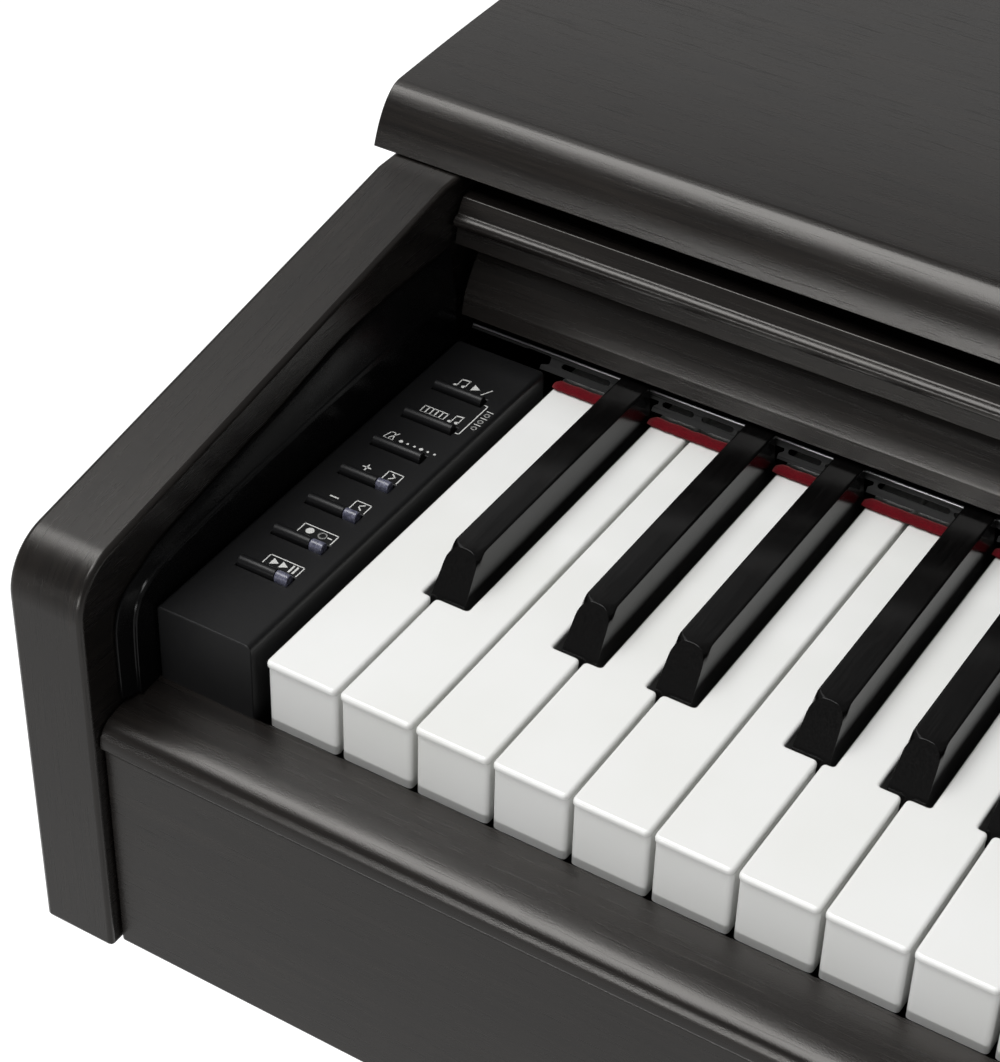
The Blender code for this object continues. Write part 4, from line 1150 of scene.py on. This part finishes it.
def key_bed():
    """The board under the keys, open under each speaker."""
    bed = block(INSIDE, (-12.2, BACK_FACE), (BED_UNDER, BED_TOP))
    cutter = bmesh.new()
    for centre in SPEAKER_CENTRES:
        disc(centre, 50.0, "z", (-120.0, -80.0), cutter, 72)
    fixed("key_bed_board", cut_away(bed, cutter), WOOD_X, "rosewood", ["key_bed"], edge=0.9, segments=3)
    sides = (-26.0, KEYBOARD_WIDTH + 26.0)
    spots = [(side, place) for side in sides for place in places_between(20.0, 370.0, 6)]
    spots += [(across, 30.0) for across in places_between(160.0, KEYBOARD_WIDTH - 160.0, 5)]
    screws("key_bed_screws", spots, "z", BED_UNDER, -1, BLACK_STEEL, "steel")


def sector(centre, radii, middle, half, span, shape):
    """A wedge between two radii, half degrees each side of its middle direction."""
    low, high = middle - half, middle + half
    outline = arc(centre, radii[1], low, high, 6) + arc(centre, radii[0], high, low, 2)
    return run(outline, "z", span, shape)


# A speaker's profiles as (radius, height over the key bed)
BASKET = [(62.0, 0.5), (62.0, 3.2), (60.6, 4.6), (55.5, 5.2), (53.2, 8.8), (33.0, 31.5), (27.0, 38.6),
          (25.2, 41.0), (23.8, 41.0), (25.6, 37.8), (31.6, 30.6), (51.0, 8.0), (52.4, 3.4), (50.8, 0.5)]
GASKET = [(61.4, 0.0), (61.4, 0.5), (50.2, 0.5), (50.2, 0.0)]
SURROUND = arc((46.8, 1.2), 3.0, 180, 360, 10) + [(50.6, 1.6)] + arc((46.8, 1.2), 2.4, 360, 180, 10)
CONE = [(44.2, 1.7), (36.0, 9.1), (27.0, 16.7), (18.6, 23.6), (17.6, 23.0), (26.3, 15.8), (35.3, 8.1),
        (43.5, 0.8)]
DUST_CAP = [(18.5, 23.8), (18.5, 22.8), (17.2, 20.4), (14.2, 18.0), (9.6, 16.2), (4.6, 15.3), (0.0, 15.1)]
FRONT_PLATE = [(36.0, 41.0), (36.0, 44.0)]
REAR_PLATE = [(36.0, 52.4), (36.0, 55.4), (30.0, 56.0), (8.0, 56.0)]
MAGNET = [(39.4, 44.0), (40.0, 44.6), (40.0, 51.8), (39.4, 52.4)]


def speakers():
    """Pressed basket, paper cone with a rubber surround, dust cap and ferrite magnet, facing down."""
    base = BED_TOP + 0.3
    for name, centre in zip(("left_speaker", "right_speaker"), SPEAKER_CENTRES):
        def lathe(profile, shape=None, hollow=False):
            lifted = [(radius, base + height) for radius, height in profile]
            return turned(lifted, centre, sides=64 if hollow else 48, shape=shape, hollow=hollow)

        def part(suffix, shape, finish, stands_for=(), **softness):
            fixed(name + suffix, shape, finish, "speaker", stands_for, **softness)

        windows = bmesh.new()
        for number in range(6):
            sector(centre, (18.0, 64.0), number * 60.0 + 30.0, 19.0, (base + 11.0, base + 31.0), windows)
        basket = cut_away(lathe(BASKET, hollow=True), windows)
        part("_basket", basket, BLACK_STEEL, [name], edge=0.3, angle=34.0)
        part("_gasket", lathe(GASKET, hollow=True), RUBBER)
        part("_surround", lathe(SURROUND, hollow=True), RUBBER, angle=50.0)
        part("_cone", lathe(CONE, hollow=True), CONE_PAPER, angle=50.0)
        part("_dust_cap", lathe(DUST_CAP), CONE_PAPER, angle=50.0)
        part("_magnet_plates", lathe(REAR_PLATE, lathe(FRONT_PLATE)), BRIGHT_STEEL, edge=0.4)
        part("_magnet", lathe(MAGNET), FERRITE, edge=0.3)
        spots = [arc(centre, 57.8, turn, turn, 1)[0] for turn in (45.0, 135.0, 225.0, 315.0)]
        screws(name + "_screws", spots, "z", base + 4.9, 1, BRIGHT_STEEL, "speaker", 2.6)


BOARD_POSTS = [(488.0, 263.0), (732.0, 263.0), (488.0, 359.0), (732.0, 359.0)]
BOARD_LEVEL = (-84.0, -82.0)
CHIPS = [((630.0, 660.0), (300.0, 330.0)), ((604.0, 618.0), (304.0, 326.0)), ((672.0, 684.0), (304.0, 326.0)),
         ((632.0, 650.0), (272.0, 286.0))]


def board_part(suffix, shape, finish, stands_for=(), edge=0.0):
    """A piece of the circuit board."""
    fixed("circuit_board_" + suffix, shape, finish, "circuit_board", stands_for, edge=edge)


def circuit_board():
    """Main board on posts, with heat sink, chips, capacitors, choke and sockets."""
    low, top = BOARD_LEVEL
    plate = run(rounded((480.0, 740.0), (256.0, 366.0), 3.0), "z", BOARD_LEVEL)
    holes = bmesh.new()
    posts = bmesh.new()
    for centre in BOARD_POSTS:
        disc(centre, 1.7, "z", (-90.0, -70.0), holes, 20)
        disc(centre, 4.0, "z", (BED_TOP + 0.3, low), posts, 6)
    board_part("plate", cut_away(plate, holes), GREEN_BOARD, ["main_circuit_board"], edge=0.15)
    board_part("posts", posts, BRASS, edge=0.3)
    screws("circuit_board_screws", BOARD_POSTS, "z", top, 1, BRIGHT_STEEL, "circuit_board", 3.0)
    sink = block((500.0, 540.0), (270.0, 350.0), (top, top + 3.5))
    for place in places_between(501.1, 538.9, 9):
        block((place - 0.9, place + 0.9), (270.0, 350.0), (top + 3.5, -62.0), sink)
    board_part("heat_sink", sink, ALUMINIUM, edge=0.25)
    chips = bmesh.new()
    legs = bmesh.new()
    for x, y in CHIPS:
        block(x, y, (top + 0.5, top + 2.8), chips)
        for place in places_between(y[0] + 1.6, y[1] - 1.6, round((y[1] - y[0]) / 1.6)):
            for edge, reach in ((x[0], x[0] - 1.4), (x[1], x[1] + 1.4)):
                block(sorted((edge, reach)), (place - 0.3, place + 0.3), (top, top + 1.4), legs)
    board_part("chips", chips, CHIP_RESIN, edge=0.25)
    board_part("chip_legs", legs, BRIGHT_STEEL, edge=0.08)
    cans = bmesh.new()
    for centre in ((566.0, 274.0), (566.0, 288.0), (579.0, 274.0)):
        turned([(5.2, top), (5.6, top + 0.6), (5.6, top + 1.8), (5.3, top + 2.2), (5.6, top + 2.6),
                (5.6, -69.0), (5.1, -68.4), (3.0, -68.6)], centre, sides=28, shape=cans)
    board_part("capacitors", cans, CHIP_RESIN)
    core = bmesh.new()
    for x, z in (((576.0, 600.0), (top, -79.0)), ((576.0, 600.0), (-71.0, -68.0)),
                 ((576.0, 580.0), (-79.0, -71.0)),
                 ((596.0, 600.0), (-79.0, -71.0))):
        block(x, (284.0, 300.0), z, core)
    board_part("choke_core", core, FERRITE, edge=0.4)
    winding = bmesh.new()
    for level in places_between(-78.4, -71.6, 8):
        run(rounded((581.0, 595.0), (286.0, 298.0), 2.0), "z", (level - 0.42, level + 0.42), winding)
    board_part("choke_winding", winding, BRASS, edge=0.2)
    sockets = bmesh.new()
    pins = bmesh.new()
    for start in places_between(690.0, 724.0, 5):
        outline = [(start, 345.0), (start + 7.4, 345.0), (start + 7.4, 359.0), (start + 6.4, 359.0),
                   (start + 6.4, 346.0), (start + 1.0, 346.0), (start + 1.0, 359.0), (start, 359.0)]
        run(outline, "z", (top, -73.5), sockets)
        for place in places_between(348.0, 357.0, 4):
            block((start + 3.4, start + 4.0), (place - 0.3, place + 0.3), (top, -74.5), pins)
    board_part("sockets", sockets, NYLON, edge=0.15)
    board_part("pins", pins, BRIGHT_STEEL, edge=0.06)
    small = bmesh.new()
    for column in range(9):
        for line in range(3):
            x = 606.0 + column * 9.5 + 1.5 * (line % 2)
            y = 338.0 + line * 5.5
            block((x, x + 2.0), (y, y + 1.2), (top, top + 0.8), small)
            block((x - 6.0, x - 4.8), (y - 74.0, y - 72.0), (top, top + 0.7), small)
    board_part("small_parts", small, CHIP_RESIN, edge=0.1)


def collar(name, centre, face, rise, radii):
    """A flat steel ring that stands rise mm proud of a face across y, between two radii."""
    inner, outer = radii
    profile = [(inner, face - rise), (outer, face - rise), (outer, face + rise * 0.4),
               (outer - 0.5, face + rise * 0.7), (inner, face + rise * 0.7)]
    fixed(name, turned(profile, centre, "y", 40, hollow=True), BRIGHT_STEEL, "steel", edge=0.15)


def jack_panel():
    """Rear connector plate: a square data socket and a round power inlet."""
    face = BACK_FACE
    reach = (face - 10.0, face + 5.0)
    plate = run(rounded(*JACK_PLATE, 2.0), "y", (face - 14.0, face))
    pockets = block(DATA_SOCKET[0], reach, DATA_SOCKET[1])
    disc(POWER_INLET, 3.4, "y", reach, pockets, 40)
    fixed("jack_panel_plate", cut_away(plate, pockets), PLASTIC, "black_plastic", ["jack_panel"], edge=0.5)
    (left, right), (low, high) = DATA_SOCKET
    wall = 0.5
    contacts = bmesh.new()
    for x, z in (((left, left + wall), (low, high)), ((right - wall, right), (low, high)),
                 ((left + wall, right - wall), (low, low + wall)),
                 ((left + wall, right - wall), (high - wall, high))):
        block(x, (face - 9.5, face + 0.2), z, contacts)
    block((left + 3.0, right - 3.0), (face - 9.5, face - 1.5), (low + 3.3, high - 3.3), contacts)
    turned([(1.0, face - 9.5), (1.0, face - 2.0), (0.6, face - 1.2)], POWER_INLET, "y", 16, contacts)
    fixed("jack_panel_contacts", contacts, BRIGHT_STEEL, "steel", edge=0.12)
    collar("jack_panel_collar", POWER_INLET, face, 1.0, (3.4, 5.4))
    screws("jack_panel_screws", [(207.0, -52.0), (283.0, -52.0)], "y", face, 0.6, BLACK_STEEL, "steel", 2.8)
    marks = bmesh.new()
    level = (face + 0.02, face + 0.07)
    socket_mark = [(221.0, -40.5), (227.0, -40.5), (227.0, -37.0), (221.0, -37.0), (221.0, -40.5)]
    stroke(marks, socket_mark, 0.4, "y", level)
    stroke(marks, [(258.0, -37.6), (266.0, -37.6)], 0.5, "y", level)
    for start in (258.0, 261.1, 264.2):
        stroke(marks, [(start + 0.2, -39.6), (start + 1.6, -39.6)], 0.5, "y", level)
    fixed("jack_panel_marks", marks, INK, "black_plastic")


HEADPHONE_SOCKETS = (34.0, 66.0)
HEADPHONE_LEVEL = -122.0
HEADPHONE_UNDER = -138.0


def headphone_pieces():
    """Socket box under the bed's front edge, and the hook beside it."""
    front, top = 2.0, BED_UNDER - 0.3
    case = block((12.0, 88.0), (front, 62.0), (HEADPHONE_UNDER, top))
    bores = bmesh.new()
    for place in HEADPHONE_SOCKETS:
        disc((place, HEADPHONE_LEVEL), 3.4, "y", (front - 5.0, front + 35.0), bores, 40)
    fixed("headphone_box_shell", cut_away(case, bores), PLASTIC, "black_plastic",
              ["headphone_box"],
              edge=2.2, segments=3)
    marks = bmesh.new()
    level = (front - 0.07, front - 0.02)
    for number, place in enumerate(HEADPHONE_SOCKETS):
        collar("headphone_collar_%d" % (number + 1), (place, HEADPHONE_LEVEL), front, -1.2, (3.4, 6.2))
        ears = (place, HEADPHONE_LEVEL - 9.5)
        stroke(marks, arc(ears, 2.6, 0, 180, 10), 0.4, "y", level)
        for side in (-2.6, 2.6):
            stroke(marks, [(place + side, ears[1]), (place + side, ears[1] - 2.1)], 0.9, "y", level)
    fixed("headphone_marks", marks, INK, "black_plastic")
    fixings = bmesh.new()
    for place in (22.0, 78.0):
        screw(fixings, (place, 48.0), "z", HEADPHONE_UNDER, -1, 2.8)
    for place in (16.0, 34.0):
        screw(fixings, (113.0, place), "z", top - 3.0, -1, 2.8)
    fixed("headphone_screws", fixings, BLACK_STEEL, "steel")
    outline = [(4.0, top), (46.0, top, 4.0), (46.0, top - 46.0, 5.0), (4.0, top - 46.0, 5.0),
               (4.0, top - 32.0), (7.0, top - 32.0), (7.0, top - 43.0, 2.0), (43.0, top - 43.0, 2.0),
               (43.0, top - 3.0, 1.0), (4.0, top - 3.0)]
    fixed("headphone_hook_bent", run(filleted(outline, 6), "x", (104.0, 122.0)), BRIGHT_STEEL,
              "steel", ["headphone_hook"], edge=0.7, segments=3)


# ---- Music rest ------------------------------------------------------------
MIDDLE = KEYBOARD_WIDTH / 2
REST_AXIS = (196.5, 85.0)
STAY_AXIS = (281.5, 81.0)


def music_rest_panel():
    """The folding rest and the lip that holds the music."""
    front, lip, rear = 194.5, 202.5, 382.5
    low, high = MIDDLE - 310.0, MIDDLE + 310.0
    plan = rounded((low, high), (front, rear), 3.0, 22.0, 8)
    add_piece("music_rest_board", run(plan, "z", (LID_TOP + 7.0, LID_TOP + 17.0)), WOOD_X, "music_rest",
              "rosewood", ["music_rest"], edge=1.8, segments=3)
    side = filleted([(front, LID_TOP + 16.0), (lip, LID_TOP + 16.0), (lip - 0.4, LID_TOP + 33.0, 3.0),
                     (front + 0.8, LID_TOP + 33.0, 3.0)], 6)
    add_piece("music_rest_lip", run(side, "x", (low + 4.0, high - 4.0)), WOOD_X, "music_rest", "rosewood",
              edge=0.8)


def music_rest_hinges():
    """Three hinges: a leaf under the rest and a base on the lid, each with its share of the knuckle."""
    for number, place in enumerate((MIDDLE - 250.0, MIDDLE, MIDDLE + 250.0)):
        width = (place - 22.0, place + 22.0)
        leaf = block(width, (197.5, 216.0), (LID_TOP + 5.9, LID_TOP + 7.0))
        for start in (-21.0, 7.0):
            disc(REST_AXIS, 2.3, "x", (place + start, place + start + 14.0), leaf, 20)
        add_piece("music_rest_leaf_%d" % (number + 1), leaf, BRIGHT_STEEL, "music_rest", "steel", edge=0.2)
        base = block(width, (186.0, 207.0), (LID_TOP - 0.5, LID_TOP + 0.9))
        block((place - 6.0, place + 6.0), (195.2, 197.8), (LID_TOP + 0.9, REST_AXIS[1] - 1.5), base)
        disc(REST_AXIS, 2.3, "x", (place - 6.5, place + 6.5), base, 20)
        for start in (-14.0, 14.0):
            screw(base, (place + start, 190.0), "z", LID_TOP + 0.9, 0.7, 2.4)
        fixed("lid_hinge_%d" % (number + 1), base, BRIGHT_STEEL, "steel", edge=0.2)


def rest_stays():
    """Slotted bars that lie under the rest and stand up behind it."""
    foot, height = STAY_AXIS
    level = (height - 1.2, height + 1.2)
    for name, side in (("left_rest_stay", -1), ("right_rest_stay", 1)):
        place = MIDDLE + side * 200.0
        left, right = place - 9.0, place + 9.0
        plan = filleted([(left, foot - 1.0), (right, foot - 1.0), (right, foot + 94.8, 8.0),
                         (left, foot + 94.8, 8.0)], 8)
        window = rounded((place - 3.6, place + 3.6), (foot + 14.0, foot + 80.0), 3.4, steps=6)
        bar = cut_away(run(plan, "z", level), run(window, "z", (level[0] - 3.0, level[1] + 3.0)))
        disc(STAY_AXIS, 1.7, "x", (place - 10.5, place + 10.5), bar, 20)
        add_piece(name + "_bar", bar, BRIGHT_STEEL, name, "steel", [name], edge=0.3)


# ---- Stand -----------------------------------------------------------------
FLOOR = -ORIGIN.z / MM
CENTRE_LINE = -ORIGIN.y / MM
LEG_SPAN = (-PANEL_OUTER, -PANEL_INNER)
LEG_TOP = BED_UNDER - 0.3


def standing(points):
    """Points given from the floor and the stand's centre line, moved onto the grid."""
    return [(point[0] + CENTRE_LINE, point[1] + FLOOR, *point[2:]) for point in points]


def stand_legs():
    """Shaped legs, feet with rubber pads, and caps over the leg screws."""
    top = LEG_TOP - FLOOR
    toe = arc((-52.0, 95.0), 40.0, -60, 0, 12)
    shoulder = arc((-87.0, 500.0), 75.0, 0, 60, 14)
    outline = standing([(190.0, 45.3), (-38.0, 45.3), *toe, *shoulder, (-84.0, 598.0, 12.0), (-85.0, top),
                        (190.0, top)])
    toe = arc((-140.0, -15.0), 60.0, 135, 90, 12)
    foot = standing([(-199.5, 3.0), (-199.5, 14.0, 6.0), (-185.0, 25.0, 10.0), *toe, (204.6, 45.0),
                     (204.6, 3.0)])
    for name, span in (("left", LEG_SPAN), ("right", mirrored(LEG_SPAN))):
        edge_banded(name + "_leg_board", filleted(outline), span, WOOD_Z, name + "_leg")
        middle = sum(span) / 2
        tread = run(filleted(foot), "x", (middle - 18.5, middle + 18.5))
        fixed(name + "_foot_board", tread, WOOD_Y, "rosewood", [name + "_foot"], edge=2.0, segments=3)
        pads = bmesh.new()
        for place in (-172.0, 178.0):
            turned([(12.0, FLOOR + 3.2), (12.0, FLOOR + 1.0), (10.5, FLOOR)], (middle, place + CENTRE_LINE),
                   sides=32, shape=pads)
        fixed(name + "_foot_pads", pads, RUBBER, "black_plastic", edge=0.2)
        inner, outwards = (span[1], 1) if name == "left" else (span[0], -1)
        caps = bmesh.new()
        for place, level in ((150.0, 430.0), (150.0, 220.0), (110.0, 140.0), (40.0, 610.0), (140.0, 610.0)):
            centre = (place + CENTRE_LINE, level + FLOOR)
            turned([(7.0, inner - 0.5 * outwards), (7.0, inner + 0.5 * outwards),
                    (6.2, inner + 0.9 * outwards),
                    (2.0, inner + 1.0 * outwards)], centre, "x", 28, caps)
        fixed(name + "_leg_caps", caps, PLASTIC, "black_plastic", edge=0.15)


PEDAL_PLACES = (-75.0, 0.0, 75.0)
PEDAL_NAMES = ("soft_pedal", "sostenuto_pedal", "damper_pedal")
SLOT_HALF = 10.0
SLOT_LEVEL = (84.0, 112.0)


def stand_panels():
    """Rear panel, and the pedal box with a framed slot for each pedal."""
    y = (165.0 + CENTRE_LINE, 180.0 + CENTRE_LINE)
    panel = block(INSIDE, y, (175.0 + FLOOR, 470.0 + FLOOR))
    fixed("rear_panel_board", panel, WOOD_X, "rosewood", ["rear_panel"], edge=1.2, segments=3)
    sides = (INSIDE[0] + 14.0, INSIDE[1] - 14.0)
    spots = [(side, level + FLOOR) for side in sides for level in (200.0, 322.0, 445.0)]
    screws("rear_panel_screws", spots, "y", y[1], 1, BLACK_STEEL, "steel")
    outline = standing([(160.0, 62.0), (60.0, 62.0, 3.0), (60.0, 160.0, 4.0), (160.0, 160.0), (160.0, 148.0),
                        (72.0, 148.0), (72.0, 74.0), (160.0, 74.0)])
    cutter = bmesh.new()
    frames = bmesh.new()
    front = 60.0 + CENTRE_LINE
    low, high = SLOT_LEVEL[0] + FLOOR, SLOT_LEVEL[1] + FLOOR
    for place in PEDAL_PLACES:
        middle = MIDDLE + place
        left, right = middle - SLOT_HALF, middle + SLOT_HALF
        block((left, right), (front - 20.0, front + 32.0), (low, high), cutter)
        rings = []
        for grow, depth in ((0.0, 3.0), (0.0, -0.7), (0.8, -1.2), (3.2, -1.2), (4.0, -0.5), (4.0, 0.2),
                            (0.3, 0.2), (0.3, 3.0)):
            rim = rounded((left - grow, right + grow), (low - grow, high + grow), 2.0)
            rings.append([at(u, front + depth, v) for u, v in rim])
        skin(rings, frames, closed=True)
    fixed("pedal_box_channel", cut_away(run(filleted(outline), "x", INSIDE), cutter), WOOD_X,
              "rosewood", ["pedal_box"], edge=0.6)
    fixed("pedal_slot_frames", frames, BLACK_STEEL, "steel", angle=40.0)


# A pedal's sections from its tip back: place, half width, underside and top from the floor
PEDAL_SECTIONS = [(-46.0, 2.4, 101.9, 104.2), (-45.2, 5.6, 101.1, 104.9), (-43.2, 8.4, 100.5, 105.5),
                  (-39.6, 10.4, 100.2, 106.0), (-34.0, 11.4, 100.0, 106.4), (-24.0, 11.5, 100.0, 106.8),
                  (-8.0, 11.5, 100.0, 107.0), (10.0, 11.1, 100.0, 107.0), (26.0, 9.8, 100.0, 107.0),
                  (42.0, 8.2, 100.0, 107.0), (52.0, 8.0, 100.0, 107.0), (147.6, 8.0, 100.0, 107.0)]


# The adjuster wheel's edge from below: radius, height over the floor
WHEEL_EDGE = [(17.6, 1.5), (19.2, 2.2), (20.0, 3.4), (20.0, 7.8), (19.0, 9.2), (13.5, 11.6), (6.0, 13.4)]


def pedal_ring(middle, section):
    """A flat-bottomed section with a crowned top and rounded sides."""
    place, half, low, high = section
    centre, rise = (low + high) / 2, (high - low) / 2
    ring_points = []
    for number in range(28):
        turn = 2 * math.pi * number / 28
        across, up = math.cos(turn), math.sin(turn)
        power = 0.62 if up > 0 else 0.35
        u = math.copysign(abs(across) ** 0.55, across) * half
        v = math.copysign(abs(up) ** power, up) * rise
        ring_points.append(at(middle + u, place + CENTRE_LINE, centre + v + FLOOR))
    return ring_points


def pedals():
    """Three brass levers on their pins."""
    for name, offset in zip(PEDAL_NAMES, PEDAL_PLACES):
        middle = MIDDLE + offset
        shape = skin([pedal_ring(middle, section) for section in PEDAL_SECTIONS])
        add_piece(name + "_lever", shape, BRASS, name, "brass", [name], angle=50.0)
        pin = disc((142.0 + CENTRE_LINE, 103.5 + FLOOR), 2.2, "x", (middle - 12.0, middle + 12.0), sides=24)
        add_piece(name + "_pin", pin, BRIGHT_STEEL, name, "steel", edge=0.3)


def pedal_adjuster():
    """Threaded stem, ribbed hand wheel and rubber pad that hold the pedal box off the floor."""
    middle = (MIDDLE, 110.0 + CENTRE_LINE)
    stem = [(5.0, 61.5), (6.0, 60.6)]
    for turn in range(29):
        level = 60.0 - turn * 1.6
        stem += [(6.0, level), (5.4, level - 0.8)]
    stem += [(6.0, 13.4), (6.0, 9.5)]
    thread = turned([(radius, height + FLOOR) for radius, height in stem], middle, sides=36)
    add_piece("pedal_adjuster_screw", thread, PLASTIC, "pedal_adjuster", "black_plastic", ["pedal_adjuster"],
              angle=40.0)
    rings = []
    for reach, height in WHEEL_EDGE:
        line = []
        for number in range(144):
            ribbed = reach > 19.0 and number % 6
            ripple = 0.7 * max(0.0, math.sin(number * 2 * math.pi / 6)) if ribbed else 0.0
            turn = number * 2.5
            line.append(at(*arc(middle, reach - ripple, turn, turn, 1)[0], height + FLOOR))
        rings.append(line)
    add_piece("pedal_adjuster_wheel", skin(rings), PLASTIC, "pedal_adjuster", "black_plastic", angle=35.0)
    pad = turned([(18.0, FLOOR + 1.6), (18.4, FLOOR + 1.0), (17.4, FLOOR)], middle)
    add_piece("pedal_adjuster_pad", pad, RUBBER, "pedal_adjuster", "black_plastic")


side_panels()
lid()
slip_and_boards()
cheeks()
key_cover()
make_keys()
felt_strip()
flange_tabs()
key_frame()
left_controls()
right_controls()
left_marks()
right_marks()
back_board()
key_bed()
speakers()
circuit_board()
jack_panel()
headphone_pieces()
music_rest_panel()
music_rest_hinges()
rest_stays()
stand_legs()
stand_panels()
pedals()
pedal_adjuster()
